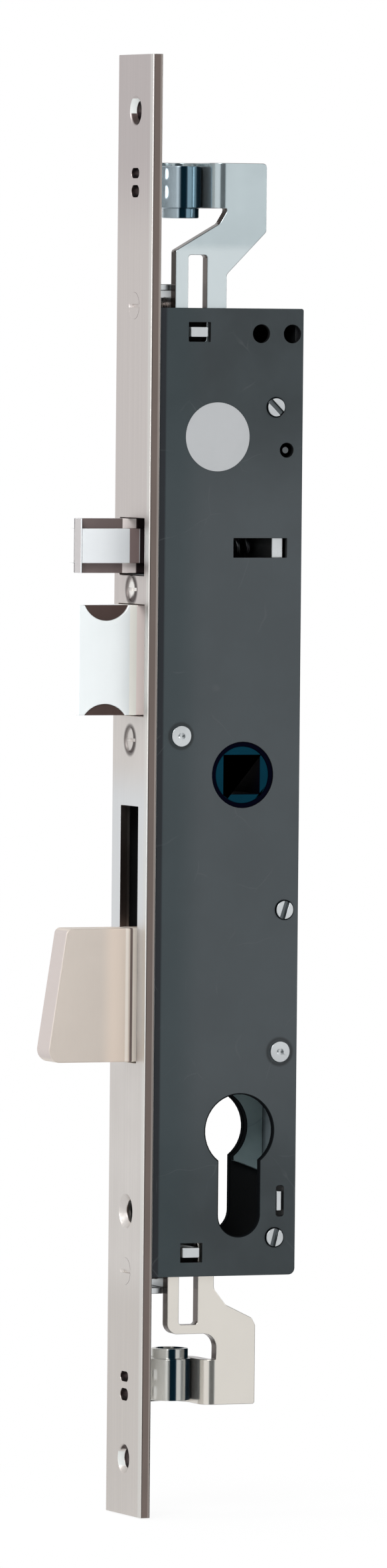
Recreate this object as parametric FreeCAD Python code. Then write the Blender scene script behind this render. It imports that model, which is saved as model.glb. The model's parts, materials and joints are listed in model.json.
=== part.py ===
import FreeCAD
import Part
import math
import os

# Narrow-stile multi-point mortise lock.
# Frame: X runs from the front face of the forend into the door, Y across the door's thickness
# (the cover is on the -Y side), Z up. The origin is on the forend's front face, level with the
# axis of the handle spindle. All sizes are in millimetres.

# Main sizes of the lock
backset = 25.0
axis_to_back = 14.7
cylinder_distance = 85.0
spindle_width = 9.0
forend_width = 22.0
forend_thickness = 2.5
forend_top = 171.2
forend_bottom = -176.9
case_width = 20.0
case_top = 111.1
case_bottom = -119.6
sheet = 1.5
case_corner = 1.6
case_bend = 1.5

# Clearances and fits
running_gap = 0.05
fixed_gap = 0.03
slide_gap = 0.1
side_gap = 0.2
opening_gap = 0.25
stop_gap = 0.3
spindle_gap = 0.15
cylinder_gap = 0.2

# Forend holes and openings
fixing_end_distance = 13.4
fixing_hole_radius = 2.3
fixing_sink_radius = 3.6
access_half_width = 2.4
access_small_half_height = 1.2
access_large_half_height = 1.45
access_pitch = 4.3
upper_access_drop = 1.5
lower_access_drop = 3.1
cylinder_screw_drop = 19.4
cylinder_screw_radius = 2.75
cylinder_sink_radius = 4.2
trigger_opening_half_width = 7.8
trigger_opening_drop = 0.5
latch_opening_half_width = 8.3
bolt_slot_half_width = 5.5
bolt_slot_top = -7.6
forend_edge_round = 0.4

# Forend screws
forend_screw_head_radius = 3.2
forend_screw_radius = 1.95
forend_screw_length = 9.3
screw_core_radius = 1.65
driver_slot = 0.8
driver_slot_depth = 0.7
end_screw_inset = 0.4
end_screw_offset = 0.5
inner_screw_sunk = 0.35
upper_block_z = 44.0
lower_block_z = 8.1

# Blocks and brackets behind the forend
bracket_web_x = 7.9
bracket_half_height = 5.2
rivet_block_rise = 12.0
rivet_block_wall = 1.6

# Case openings, screws and rivets
end_window = (5.6, 4.6)
end_window_x = 10.1
end_window_inset = 3.4
side_hole_radius = 2.2
side_hole_pitch = 8.0
side_hole_from_back = 2.9
side_hole_inset = 6.0
small_hole_from_back = 4.1
small_hole_z = 77.4
small_hole_radius = 1.75
locating_pin_radius = 0.8
locating_pin_sunk = 0.9
trigger_window_width = 13.8
trigger_window_height = 4.6
trigger_window_from_back = 3.8
tab_slot_width = 2.0
tab_slot_height = 7.4
tab_slot_from_back = 3.0
tab_slot_z = -101.9
tab_thickness = 1.2
tab_height = 4.6
tab_sunk = 0.2
cover_screw_places = ((7.0, 87.6, 45.0), (3.6, -32.3, -72.0), (5.4, -110.6, -75.0))
cover_screw_head_radius = 2.2
cover_screw_head = 1.1
cover_screw_proud = 0.45
cover_screw_radius = 1.5
cover_screw_length = 4.0
cover_driver_slot = 1.2
cover_lug = 2.0
cover_lug_wall = 0.5
rivet_x = 9.0
rivet_z = 9.3
rivet_post_radius = 2.45
rivet_shank_radius = 1.9
rivet_head_radius = 2.5
rivet_head = 0.5
case_rivet_from_back = 4.5
case_rivet_z = -66.2
dimple_radius = 1.0
dimple_depth = 0.4
guide_block_height = 2.4
guide_block_sunk = 0.2

# Round label on the cover
label_x = 17.7
label_z = 80.5
label_radius = 8.2
label_thickness = 0.15

# Cylinder cut-out
cutout_radius = 8.75
cutout_slot_half_width = 5.25
cutout_depth = 25.2
support_thickness = 2.0
support_from_axis = 2.0
support_above = 11.0
support_below = 9.0
support_slant = 2.0
support_foot_from_axis = 8.0

# Follower that the spindle turns
collar_radius = 6.8
collar_near_reach = 9.5
collar_far_reach = 11.4
hub_radius = 8.2
bush_wall = 1.0
bush_inset = 0.3
follower_turn = 45.0
arm_thickness = 4.0
arm_tip_radius = 1.75
arm_tip_neck = 1.2
arm_root_half_width = 4.5
torsion_wire_radius = 0.45
torsion_turns = 2.25
torsion_leg = 6.0
hub_groove = 4.4

# Main latch
latch_bottom = 14.1
latch_height = 26.2
latch_projection = 14.8
latch_travel = 14.5
latch_near_face = -3.4
latch_inside = 2.5
latch_tip_thickness = 1.6
latch_corner = 0.8
pad_upper_chord = 11.2
pad_lower_chord = 10.5
pad_upper_depth = 3.7
pad_lower_depth = 2.7
pad_upper_x = -13.2
pad_lower_x = -13.1
pad_thickness = 1.2
pad_inset = 0.5
hook_thickness = 3.0
hook_below_tip_centre = 0.7
tail_bar_height = 4.0
stem_radius = 1.3
stem_length = 13.0
latch_spring_radius = 2.3
latch_spring_wire = 0.4
latch_spring_turns = 11
latch_spring_rise = 20.4

# Auxiliary latch, called the trigger here
trigger_bottom = 47.8
trigger_height = 13.0
trigger_rib_height = 8.2
trigger_projection = 12.6
trigger_near_face = 1.3
trigger_tip_thickness = 4.2
trigger_bevel_start = 4.0
trigger_inside = 4.5
rail_recess = 1.9
rail_thickness = 2.2
rail_start = 0.45
trigger_spring_radius = 2.0
trigger_spring_wire = 0.35
trigger_spring_turns = 10
trigger_stem_radius = 1.2
trigger_stem_length = 9.0
guide_plate_from_back = 7.1
guide_plate_thickness = 2.8
guide_plate_height = 9.0

# Swinging deadbolt and its gear
bolt_top = -36.6
bolt_bottom = -68.5
bolt_thickness = 8.0
bolt_tip_top = 17.3
bolt_tip_bottom = 22.2
bolt_tip_corner = 3.0
pivot_before_axis = 3.0
pivot_z = -51.3
pivot_radius = 2.5
pivot_collar_radius = 5.0
bolt_heel_before_pivot = 9.0
bolt_swing = 90.0
gear_module = 1.0
gear_teeth = 12
gear_pressure_angle = 25.0
gear_addendum = 0.8
gear_dedendum = 1.0
gear_backlash = 0.1

# Rod sliders, both of the same plate
slider_plate = 3.0
eye_x = 11.7
eye_height = 10.8
rod_bush_radius = 5.0
rod_thread_radius = 3.4
eye_wrap = 160.0
eye_bend = 0.45
bush_proud = 2.4
bush_sunk = 0.8
bush_neck_radius = 4.4
upper_eye_top = 145.6
lower_eye_bottom = -150.5
shank_left = 7.2
shank_right = 20.4
slot_left = 10.5
slot_right = 15.3
upper_slot_end = 123.7
lower_slot_end = -131.2
strip_left = 4.0
strip_hub_gap = 0.4
cross_top = -11.0
cross_height = 8.0
rack_left = 5.0
key_dog_gap = 8.4
key_dog = 3.5
key_dog_base = 2.0
key_dog_width = 4.2
key_dog_reach = 8.4

# Outlines of the upper and lower slider plates
upper_end_width = 10.3
upper_jog_left_drop = 3.6
upper_jog_right_drop = 5.5
upper_neck_slope = 10.2
upper_neck_slope_left = 6.5
upper_neck_inset = 1.7
upper_neck_rise = 2.8
upper_shank_end = 78.0
upper_strip_start = 74.0
upper_left_step = 31.0
upper_left_step_end = 27.0
cross_chamfer = 4.0
rack_back_wall = 3.3
lower_left = 7.5
lower_foot = -133.4
lower_shank_right = 19.5
lower_shoulder_top = -119.6
lower_shoulder = (3.1, 7.0)
lower_end_width = 10.1
lower_end_shoulder = (0.9, 10.3)
lower_end_start = 12.0
lower_rack_step = 15.6
lower_rack_slope = 4.6
lower_left_step = 20.0

# Values worked out from the sizes above
case_back = backset + axis_to_back
half_case = case_width / 2
near_wall = -half_case + sheet
far_wall = half_case - sheet
back_wall = case_back - sheet
side_hole_x = case_back - side_hole_from_back
small_hole_x = case_back - small_hole_from_back
trigger_window_right = case_back - trigger_window_from_back
tab_slot_right = case_back - tab_slot_from_back
case_rivet_x = case_back - case_rivet_from_back
guide_plate_x = case_back - guide_plate_from_back
top_wall = case_top - sheet
bottom_wall = case_bottom + sheet
slider_near = near_wall + slide_gap
slider_far = slider_near + slider_plate
middle_near = slider_far + side_gap
cylinder_z = -cylinder_distance
latch_top = latch_bottom + latch_height
latch_far_face = latch_opening_half_width - stop_gap
trigger_far_face = trigger_opening_half_width - stop_gap
trigger_top = trigger_bottom + trigger_height
trigger_z = trigger_bottom + trigger_height / 2
pitch_radius = gear_module * gear_teeth / 2
pivot_x = backset - pivot_before_axis
bolt_heel_x = pivot_x - bolt_heel_before_pivot
strip_right = backset - hub_radius - strip_hub_gap
cross_right = pivot_x + pitch_radius + gear_dedendum * gear_module + rack_back_wall
rod_travel = pitch_radius * math.radians(bolt_swing)
tooth_pitch = math.pi * gear_module
arm_reach = latch_travel / (2 * math.sin(math.radians(follower_turn / 2)))
bush_inner = collar_radius + running_gap
bush_outer = bush_inner + bush_wall
eye_inner = rod_bush_radius + running_gap
eye_outer = eye_inner + slider_plate
bend_outer = eye_bend + slider_plate
plate_left = eye_x + eye_inner + bend_outer
upper_eye_bottom = upper_eye_top - eye_height
lower_eye_top = lower_eye_bottom + eye_height
big_cut = 60.0


def vec(x, y, z):
    return FreeCAD.Vector(x, y, z)


def block(x0, x1, y0, y1, z0, z1):
    return Part.makeBox(x1 - x0, y1 - y0, z1 - z0, vec(x0, y0, z0))


def round_x(y, z, radius, x0, x1):
    return Part.makeCylinder(radius, x1 - x0, vec(x0, y, z), vec(1, 0, 0))


def round_y(x, z, radius, y0, y1):
    return Part.makeCylinder(radius, y1 - y0, vec(x, y0, z), vec(0, 1, 0))


def round_z(x, y, radius, z0, z1):
    return Part.makeCylinder(radius, z1 - z0, vec(x, y, z0), vec(0, 0, 1))


def cone_x(y, z, radius0, radius1, x0, x1):
    return Part.makeCone(radius0, radius1, x1 - x0, vec(x0, y, z), vec(1, 0, 0))


def join(shapes):
    return shapes[0].multiFuse(shapes[1:]).removeSplitter()


def corner_wire(corners, place):
    """A closed wire through corners (u, v, round radius), each rounded by a tangent arc."""
    count = len(corners)
    ends = []
    for i in range(count):
        u, v, radius = corners[i]
        here = FreeCAD.Vector(u, v, 0)
        before = FreeCAD.Vector(corners[i - 1][0], corners[i - 1][1], 0) - here
        after = FreeCAD.Vector(corners[(i + 1) % count][0], corners[(i + 1) % count][1], 0) - here
        before.normalize()
        after.normalize()
        if radius <= 0:
            ends.append((here, None, here))
            continue
        half = before.getAngle(after) / 2
        reach = radius / math.tan(half)
        middle = (before + after).normalize()
        centre = here + middle * (radius / math.sin(half))
        ends.append((here + before * reach, centre - middle * radius, here + after * reach))
    edges = []
    for i in range(count):
        start, arc_middle, end = ends[i]
        if arc_middle is not None:
            edges.append(Part.Arc(place(start), place(arc_middle), place(end)).toShape())
        following = ends[(i + 1) % count][0]
        if (following - end).Length > 1e-6:
            edges.append(Part.LineSegment(place(end), place(following)).toShape())
    return Part.Wire(edges)


def plate_xz(corners, y0, y1):
    """A flat plate with an outline in X and Z, between two Y planes."""
    wire = corner_wire(corners, lambda p: vec(p.x, y0, p.y))
    return Part.Face(wire).extrude(vec(0, y1 - y0, 0))


def bar_xy(corners, z0, z1):
    """A bar with an outline in X and Y, between two Z planes."""
    wire = corner_wire(corners, lambda p: vec(p.x, p.y, z0))
    return Part.Face(wire).extrude(vec(0, 0, z1 - z0))


def bar_yz(corners, x0, x1):
    """A bar with an outline in Y and Z, between two X planes."""
    wire = corner_wire(corners, lambda p: vec(x0, p.x, p.y))
    return Part.Face(wire).extrude(vec(x1 - x0, 0, 0))


def rectangle(u0, u1, v0, v1, radius):
    return [(u0, v0, radius), (u1, v0, radius), (u1, v1, radius), (u0, v1, radius)]


def wire_bow(start, tangent, end):
    """The arc from start, leaving along tangent, to end."""
    chord = end - start
    length = chord.Length
    along = chord * (1 / length)
    side = tangent - along * tangent.dot(along)
    if side.Length < 1e-9:
        return Part.LineSegment(start, end).toShape()
    side.normalize()
    turn = math.acos(max(-1.0, min(1.0, tangent.dot(along))))
    middle = start + chord * 0.5 + side * (length / 2 * math.tan(turn / 2))
    return Part.Arc(start, middle, end).toShape()


def biarc(start, start_dir, end, end_dir):
    """Two tangent arcs from start to end that keep both end directions."""
    gap = end - start
    both = start_dir + end_dir
    a = both.dot(both) - 4
    b = -2 * gap.dot(both)
    c = gap.dot(gap)
    reach = (-b - math.sqrt(b * b - 4 * a * c)) / (2 * a)
    if reach < 0:
        reach = (-b + math.sqrt(b * b - 4 * a * c)) / (2 * a)
    knot_a = start + start_dir * reach
    knot_b = end - end_dir * reach
    meet = (knot_a + knot_b) * 0.5
    meet_dir = (knot_b - knot_a).normalize()
    return [wire_bow(start, start_dir, meet), wire_bow(meet, meet_dir, end)]


def coil(radius, wire_radius, turns, length, lead, place):
    """A round wire wound on a helix of the given mean radius, with straight ends of one lead."""
    steps = round(turns * 4)
    rise = length / (turns * 2 * math.pi)
    slope = math.hypot(radius, rise)

    def point(i):
        angle = i * math.pi / 2
        return place(radius * math.cos(angle), radius * math.sin(angle), rise * angle)

    def direction(i):
        angle = i * math.pi / 2
        tip = place(-radius * math.sin(angle) / slope, radius * math.cos(angle) / slope, rise / slope)
        return (tip - place(0, 0, 0)).normalize()

    first = point(0) - direction(0) * lead
    edges = [Part.LineSegment(first, point(0)).toShape()]
    for i in range(steps):
        edges += biarc(point(i), direction(i), point(i + 1), direction(i + 1))
    last = point(steps) + direction(steps) * lead
    edges.append(Part.LineSegment(point(steps), last).toShape())
    profile = Part.Wire([Part.makeCircle(wire_radius, first, direction(0))])
    shape = Part.Wire(edges).makePipeShell([profile], True, False)
    solid = shape if shape.ShapeType == "Solid" else Part.Solid(shape)
    if solid.Volume < 0:
        solid.reverse()
    gap = 2 * math.pi * rise - 2 * wire_radius
    print("coil gap between turns %.2f mm, %d turns" % (gap, turns))
    return solid


def screw(y, z, head_radius, shank_radius, length, sunk):
    """A countersunk screw whose head lies a little under the forend's front face."""
    depth = head_radius - shank_radius
    head = cone_x(y, z, head_radius - sunk, shank_radius, sunk, depth)
    shank = round_x(y, z, shank_radius, depth, length)
    slot = block(-1, sunk + driver_slot_depth, y - head_radius - 1, y + head_radius + 1,
                 z - driver_slot / 2, z + driver_slot / 2)
    return join([head, shank]).cut(slot)


def sunk_hole(y, z, hole_radius, sink_radius):
    """The cutter for a countersunk hole through the forend."""
    depth = sink_radius - hole_radius
    return [cone_x(y, z, sink_radius, hole_radius, 0, depth),
            round_x(y, z, hole_radius, depth / 2, forend_thickness + 1)]


def forend_screw_heights():
    return (case_top + end_screw_inset, upper_block_z, lower_block_z,
            case_bottom + end_screw_inset + end_screw_offset)


def make_forend():
    half = forend_width / 2
    outline = rectangle(0, forend_thickness, -half, half, forend_edge_round)
    plate = bar_xy(outline, forend_bottom, forend_top)
    cuts = []
    for z in (forend_top - fixing_end_distance, forend_bottom + fixing_end_distance):
        cuts += sunk_hole(0, z, fixing_hole_radius, fixing_sink_radius)
    for z in forend_screw_heights():
        cuts += sunk_hole(0, z, forend_screw_radius + fixed_gap, forend_screw_head_radius + fixed_gap)
    cuts += sunk_hole(0, cylinder_z - cylinder_screw_drop, cylinder_screw_radius, cylinder_sink_radius)
    upper_eye_z = (upper_eye_top + upper_eye_bottom) / 2
    lower_eye_z = (lower_eye_top + lower_eye_bottom) / 2
    for z in (upper_eye_z - upper_access_drop, lower_eye_z - lower_access_drop):
        for height, half in ((z, access_large_half_height), (z + access_pitch, access_small_half_height)):
            cuts.append(bar_yz(rectangle(-access_half_width, access_half_width, height - half,
                                         height + half, half * 0.98), -1, forend_thickness + 1))
    half_trigger = trigger_opening_half_width
    cuts.append(bar_yz(rectangle(-half_trigger, half_trigger, trigger_bottom - trigger_opening_drop,
                                 trigger_top + opening_gap, opening_gap), -1, forend_thickness + 1))
    half_latch = latch_opening_half_width
    cuts.append(bar_yz(rectangle(-half_latch, half_latch, latch_bottom - opening_gap,
                                 latch_top + opening_gap, opening_gap), -1, forend_thickness + 1))
    cuts.append(bar_yz(rectangle(-bolt_slot_half_width, bolt_slot_half_width, bolt_bottom - opening_gap,
                                 bolt_slot_top, opening_gap), -1, forend_thickness + 1))
    return plate.cut(cuts)


def make_forend_screws():
    solids = []
    for z in forend_screw_heights():
        length = forend_screw_length
        if z == lower_block_z:
            length = rivet_x - rivet_post_radius - side_gap
        sunk = inner_screw_sunk if z in (upper_block_z, lower_block_z) else 0
        solids.append(screw(0, z, forend_screw_head_radius, forend_screw_radius, length, sunk))
    return solids


def cutout_cutter():
    """The profile-cylinder shape through the whole case."""
    barrel = round_y(backset, cylinder_z, cutout_radius, -big_cut, big_cut)
    bottom = cylinder_z - cutout_depth
    slot = plate_xz([(backset - cutout_slot_half_width, cylinder_z, 0),
                     (backset + cutout_slot_half_width, cylinder_z, 0),
                     (backset + cutout_slot_half_width, bottom, cutout_slot_half_width * 0.98),
                     (backset - cutout_slot_half_width, bottom, cutout_slot_half_width * 0.98)],
                    -big_cut, big_cut)
    return join([barrel, slot])


def end_windows():
    """Centres of the two rectangular windows over the slider guides."""
    x = end_window_x + end_window[0] / 2
    return ((x, case_top - end_window_inset - end_window[1] / 2),
            (x, case_bottom + end_window_inset + end_window[1] / 2))


def wall_holes():
    """The holes that the near and far walls share."""
    holes = [cutout_cutter()]
    holes.append(round_y(backset, 0, bush_outer + fixed_gap, -big_cut, big_cut))
    holes.append(round_y(rivet_x, rivet_z, rivet_shank_radius + fixed_gap, -big_cut, big_cut))
    holes.append(round_y(case_rivet_x, case_rivet_z, rivet_shank_radius + fixed_gap, -big_cut, big_cut))
    return holes


def make_cover():
    r = case_corner
    cover = plate_xz([(forend_thickness, case_bottom, 0), (case_back, case_bottom, r),
                      (case_back, case_top, r / 3), (forend_thickness, case_top, 0)],
                     -half_case, near_wall)
    cuts = wall_holes()
    for x, z in end_windows():
        cuts.append(block(x - end_window[0] / 2, x + end_window[0] / 2, -big_cut, 0,
                          z - end_window[1] / 2, z + end_window[1] / 2))
    for i in range(2):
        cuts.append(round_y(side_hole_x - i * side_hole_pitch, case_top - side_hole_inset,
                            side_hole_radius, -big_cut, 0))
    cuts.append(round_y(small_hole_x, small_hole_z, small_hole_radius, -big_cut, 0))
    cuts.append(block(trigger_window_right - trigger_window_width, trigger_window_right, -big_cut, 0,
                      trigger_z - trigger_window_height / 2 - side_gap,
                      trigger_z + trigger_window_height / 2 - side_gap))
    cuts.append(plate_xz(rectangle(tab_slot_right - tab_slot_width, tab_slot_right,
                                   tab_slot_z - tab_slot_height / 2, tab_slot_z + tab_slot_height / 2,
                                   tab_slot_width / 3), -big_cut, 0))
    for x, z, _ in cover_screws():
        cuts.append(round_y(x, z, cover_screw_radius + fixed_gap, -big_cut, 0))
        seat = -half_case + cover_screw_head - cover_screw_proud
        cuts.append(round_y(x, z, cover_screw_head_radius + side_gap, -big_cut, seat))
    return cover.cut(cuts)


def cover_screws():
    """The places of the cover's screws, and how far each one's slot is turned."""
    return [(case_back - inset, z, turn) for inset, z, turn in cover_screw_places]


def make_tray():
    r = case_corner
    outer = plate_xz([(forend_thickness, case_bottom, 0), (case_back, case_bottom, r),
                      (case_back, case_top, r / 3), (forend_thickness, case_top, 0)],
                     near_wall, half_case)
    bent = bar_xy([(forend_thickness, -half_case, 0), (case_back, -half_case, 0),
                   (case_back, half_case, case_bend), (forend_thickness, half_case, 0)],
                  case_bottom, case_top)
    hollow = block(-big_cut, back_wall, -big_cut, far_wall, bottom_wall, top_wall)
    added = []
    for x, z, _ in cover_screws():
        half = cover_screw_head_radius + cover_lug_wall
        added.append(block(x - half, back_wall + sheet / 2, near_wall, near_wall + cover_lug,
                           z - half, z + half))
    tray = join([outer.common(bent).cut(hollow)] + added)
    cuts = wall_holes()
    for x, z, _ in cover_screws():
        cuts.append(round_y(x, z, cover_screw_radius + fixed_gap, -big_cut, 0))
    bracket_back = bracket_web_x + sheet + side_gap
    upper_end = plate_left + upper_end_width + stop_gap
    lower_end = plate_left + lower_end_width + stop_gap
    cuts.append(block(0, shank_right + upper_neck_slope_left, -big_cut, middle_near,
                      top_wall - 1, case_top + 1))
    cuts.append(block(0, lower_end, -big_cut, middle_near, case_bottom - 1, bottom_wall + 1))
    cuts.append(block(0, bracket_back, -big_cut, far_wall, top_wall - 1, case_top + 1))
    cuts.append(block(0, bracket_back, -big_cut, far_wall, case_bottom - 1, bottom_wall + 1))
    return tray.cut(cuts)


def make_cover_tab():
    """The folded tab from the case's back wall that shows in the cover's slot."""
    left = tab_slot_right - tab_slot_width + side_gap
    low = tab_slot_z - tab_height / 2
    high = tab_slot_z + tab_height / 2
    tab = block(left, left + tab_thickness, -half_case + tab_sunk, near_wall + cover_lug, low, high)
    foot = block(left, back_wall, near_wall + cover_lug - tab_thickness, near_wall + cover_lug, low, high)
    return join([tab, foot])


def make_locating_pin():
    return round_y(small_hole_x, small_hole_z, locating_pin_radius, -half_case + locating_pin_sunk, far_wall)


def make_cylinder_support():
    """The plate on the far wall that backs the cylinder's round part."""
    top = cylinder_z + support_above
    bottom = cylinder_z - support_below
    left = backset + support_from_axis
    right = back_wall - side_gap
    plate = plate_xz([(left, top, 1.0), (left, bottom + support_slant, 0),
                      (backset + support_foot_from_axis, bottom, 0), (right, bottom - support_slant, 0),
                      (right, top, 1.0)], far_wall - support_thickness, far_wall)
    barrel = round_y(backset, cylinder_z, cutout_radius + cylinder_gap, -big_cut, big_cut)
    slot = block(backset - cutout_radius, backset + cutout_slot_half_width + cylinder_gap, -big_cut, big_cut,
                 bottom - support_slant - 1, cylinder_z)
    return plate.cut([barrel, slot])


def make_label():
    return round_y(label_x, label_z, label_radius, -half_case - label_thickness, -half_case)


def make_cover_screws():
    solids = []
    for x, z, turn in cover_screws():
        top = -half_case - cover_screw_proud
        head = round_y(x, z, cover_screw_head_radius, top, top + cover_screw_head)
        shank = round_y(x, z, cover_screw_radius, top + cover_screw_head / 2, top + cover_screw_length)
        half = cover_driver_slot / 2
        slot = block(-big_cut, big_cut, top - 1, top + driver_slot_depth, -half, half)
        slot.rotate(vec(0, 0, 0), vec(0, 1, 0), turn)
        slot.translate(vec(x, 0, z))
        solids.append(join([head, shank]).cut(slot))
    return solids


def rivet(x, z, post_radius):
    """A shouldered rivet that spaces and joins the two walls, headed and dimpled outside both."""
    parts = [round_y(x, z, post_radius, near_wall, far_wall),
             round_y(x, z, rivet_shank_radius, -half_case, half_case),
             round_y(x, z, rivet_head_radius, -half_case - rivet_head, -half_case),
             round_y(x, z, rivet_head_radius, half_case, half_case + rivet_head)]
    end = half_case + rivet_head
    dimples = [Part.makeCone(dimple_radius, 0, dimple_depth, vec(x, -end, z), vec(0, 1, 0)),
               Part.makeCone(dimple_radius, 0, dimple_depth, vec(x, end, z), vec(0, -1, 0))]
    return join(parts).cut(dimples)


def make_forend_block(z):
    """A tapped block behind the forend, seated on the far wall."""
    if z == lower_block_z:
        low = bolt_slot_top + rivet_block_rise
        high = latch_bottom - opening_gap
        deep = rivet_x + rivet_post_radius + rivet_block_wall
    else:
        low = latch_top + opening_gap + side_gap
        high = trigger_bottom - side_gap
        deep = forend_screw_length + side_gap
    solid = block(forend_thickness, deep, middle_near, far_wall, low, high)
    holes = [round_x(0, z, forend_screw_radius + fixed_gap, 0, forend_screw_length + side_gap)]
    if z == lower_block_z:
        holes.append(round_y(rivet_x, rivet_z, rivet_post_radius + fixed_gap, -big_cut, big_cut))
    return solid.cut(holes)


def make_end_bracket(screw_z, away):
    """A folded bracket that carries an end screw, its outer leg standing past the case's end."""
    leg = sheet
    web = bracket_web_x
    outer = screw_z + away * bracket_half_height
    inner = screw_z - away * bracket_half_height
    low = min(outer, inner)
    high = max(outer, inner)
    body = block(forend_thickness, web + leg, middle_near, far_wall, low, high)
    hollow = block(forend_thickness - 1, web, middle_near - 1, far_wall + 1, low + leg, high - leg)
    hole = round_x(0, screw_z, forend_screw_radius + fixed_gap, 0, big_cut)
    return body.cut([hollow, hole])


def make_guide_block(x, z):
    """A block on the far wall that fills the slider's slot and shows in the cover's window."""
    half_x = (slot_right - slot_left) / 2 - side_gap
    centre_x = (slot_left + slot_right) / 2
    half_z = guide_block_height / 2
    return plate_xz(rectangle(centre_x - half_x, centre_x + half_x, z - half_z, z + half_z, 0.3),
                    -half_case + guide_block_sunk, far_wall)


def make_follower():
    collar = round_y(backset, 0, collar_radius, -collar_near_reach, collar_far_reach)
    side = far_wall - side_gap
    hub = round_y(backset, 0, hub_radius, -side, side - hub_groove)
    angle = math.radians(-follower_turn / 2)
    tip = (backset + arm_reach * math.sin(angle), arm_reach * math.cos(angle))
    across = (math.cos(angle), -math.sin(angle))
    half = arm_thickness / 2
    root = arm_root_half_width
    neck = arm_tip_neck
    arm = plate_xz([(backset + across[0] * root, across[1] * root, 0),
                    (tip[0] + across[0] * neck, tip[1] + across[1] * neck, 0),
                    (tip[0] - across[0] * neck, tip[1] - across[1] * neck, 0),
                    (backset - across[0] * root, -across[1] * root, 0)], -half, half)
    knob = round_y(tip[0], tip[1], arm_tip_radius, -half, half)
    solid = join([collar, hub, arm, knob])
    s = spindle_width / 2 + spindle_gap
    return solid.cut(block(backset - s, backset + s, -big_cut, big_cut, -s, s))


def make_bush(side):
    near, far = -half_case + bush_inset, near_wall
    low, high = (near, far) if side < 0 else (-far, -near)
    ring = round_y(backset, 0, bush_outer, low, high)
    return ring.cut(round_y(backset, 0, bush_inner, -big_cut, big_cut))


def make_follower_spring():
    start = far_wall - side_gap - hub_groove + torsion_wire_radius + side_gap
    length = hub_groove - 2 * torsion_wire_radius - 2 * side_gap
    radius = collar_radius + torsion_wire_radius + stop_gap
    return coil(radius, torsion_wire_radius, torsion_turns, length, torsion_leg,
                lambda u, v, w: vec(backset + u, start + w, v))


def latch_tip_z():
    return arm_reach * math.cos(math.radians(follower_turn / 2))


def make_latch_head():
    back = forend_thickness + latch_inside
    front = -latch_projection
    c = latch_corner
    outline = [(front, latch_near_face, c / 2), (back, latch_near_face, 0), (back, latch_far_face, 0),
               (0, latch_far_face, 2.0), (front, latch_near_face + latch_tip_thickness, c / 2)]
    head = bar_xy(outline, latch_bottom, latch_top)
    cuts = []
    for cutter in pad_shapes(0):
        cuts.append(cutter)
    stem = round_x(stem_y(), latch_bottom + latch_spring_rise, stem_radius, back, back + stem_length)
    return join([head.cut(cuts), stem])


def stem_y():
    return (latch_near_face + latch_far_face) / 2


def pad_shapes(gap):
    """The two round-segment pads in the latch's near face, or their recesses where gap is 0."""
    shapes = []
    near = latch_near_face + (pad_inset if gap else -1)
    far = latch_near_face + pad_inset + pad_thickness
    for x, edge, chord, depth, up in ((pad_upper_x, latch_top, pad_upper_chord, pad_upper_depth, 1),
                                      (pad_lower_x, latch_bottom, pad_lower_chord, pad_lower_depth, -1)):
        radius = ((chord / 2) ** 2 + depth ** 2) / (2 * depth)
        centre = edge - up * depth + up * radius
        disc = round_y(x + chord / 2, centre, radius - gap, near, far - gap)
        band = block(x - chord, x + 2 * chord, near - 1, far + 1,
                     min(edge, edge - up * depth * 2), max(edge, edge - up * depth * 2))
        shapes.append(disc.common(band))
    return shapes


def make_latch_pads():
    return pad_shapes(fixed_gap)


def make_latch_tail():
    back = forend_thickness + latch_inside
    tip_x = backset - latch_travel / 2
    hook = tip_x + arm_tip_radius + side_gap
    half = arm_thickness / 2
    bar_low = arm_reach + arm_tip_radius + 1.2
    return plate_xz([(back, bar_low, 0), (hook, bar_low, 1.0),
                     (hook, latch_tip_z() - hook_below_tip_centre, 0.3),
                     (hook + hook_thickness, latch_tip_z() - hook_below_tip_centre, 0.3),
                     (hook + hook_thickness, bar_low + tail_bar_height, 1.2),
                     (back, bar_low + tail_bar_height, 0)], -half, half)


def make_latch_spring():
    back = forend_thickness + latch_inside
    z = latch_bottom + latch_spring_rise
    start = back + latch_spring_wire + running_gap
    length = back_wall - latch_spring_wire - running_gap - start
    return coil(latch_spring_radius, latch_spring_wire, latch_spring_turns, length,
                2 * latch_spring_wire, lambda u, v, w: vec(start + w, stem_y() + u, z + v))


def make_trigger():
    back = forend_thickness + trigger_inside
    front = -trigger_projection
    low = trigger_z - trigger_rib_height / 2
    high = trigger_z + trigger_rib_height / 2
    rib = bar_xy([(front, trigger_near_face, 0.4), (back, trigger_near_face, 0), (back, trigger_far_face, 0),
                  (-trigger_bevel_start, trigger_far_face, 1.0),
                  (front, trigger_near_face + trigger_tip_thickness, 0.6)], low, high)
    recess = trigger_near_face + rail_recess
    wings = bar_xy([(front, recess + rail_thickness, 0), (back, recess + rail_thickness, 0),
                    (back, trigger_far_face, 0), (-trigger_bevel_start, trigger_far_face, 1.0),
                    (front, recess + rail_thickness + 0.1, 0)], trigger_bottom, trigger_top)
    tip = bar_xy([(front, trigger_near_face, 0.4), (front + rail_start, trigger_near_face, 0),
                  (front + rail_start, trigger_near_face + trigger_tip_thickness, 0),
                  (front, trigger_near_face + trigger_tip_thickness, 0.6)], trigger_bottom, trigger_top)
    stem = round_x(spring_y(), trigger_z, trigger_stem_radius, back, back + trigger_stem_length)
    return join([rib, wings, tip, stem])


def spring_y():
    return (trigger_near_face + trigger_far_face) / 2


def make_trigger_rails():
    back = forend_thickness + trigger_inside
    near = trigger_near_face + rail_recess
    front = -trigger_projection + rail_start + fixed_gap
    solids = []
    for low, high in ((trigger_bottom, trigger_z - trigger_rib_height / 2 - fixed_gap),
                      (trigger_z + trigger_rib_height / 2 + fixed_gap, trigger_top)):
        solids.append(block(front, back, near, near + rail_thickness - fixed_gap, low, high))
    return solids


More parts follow.
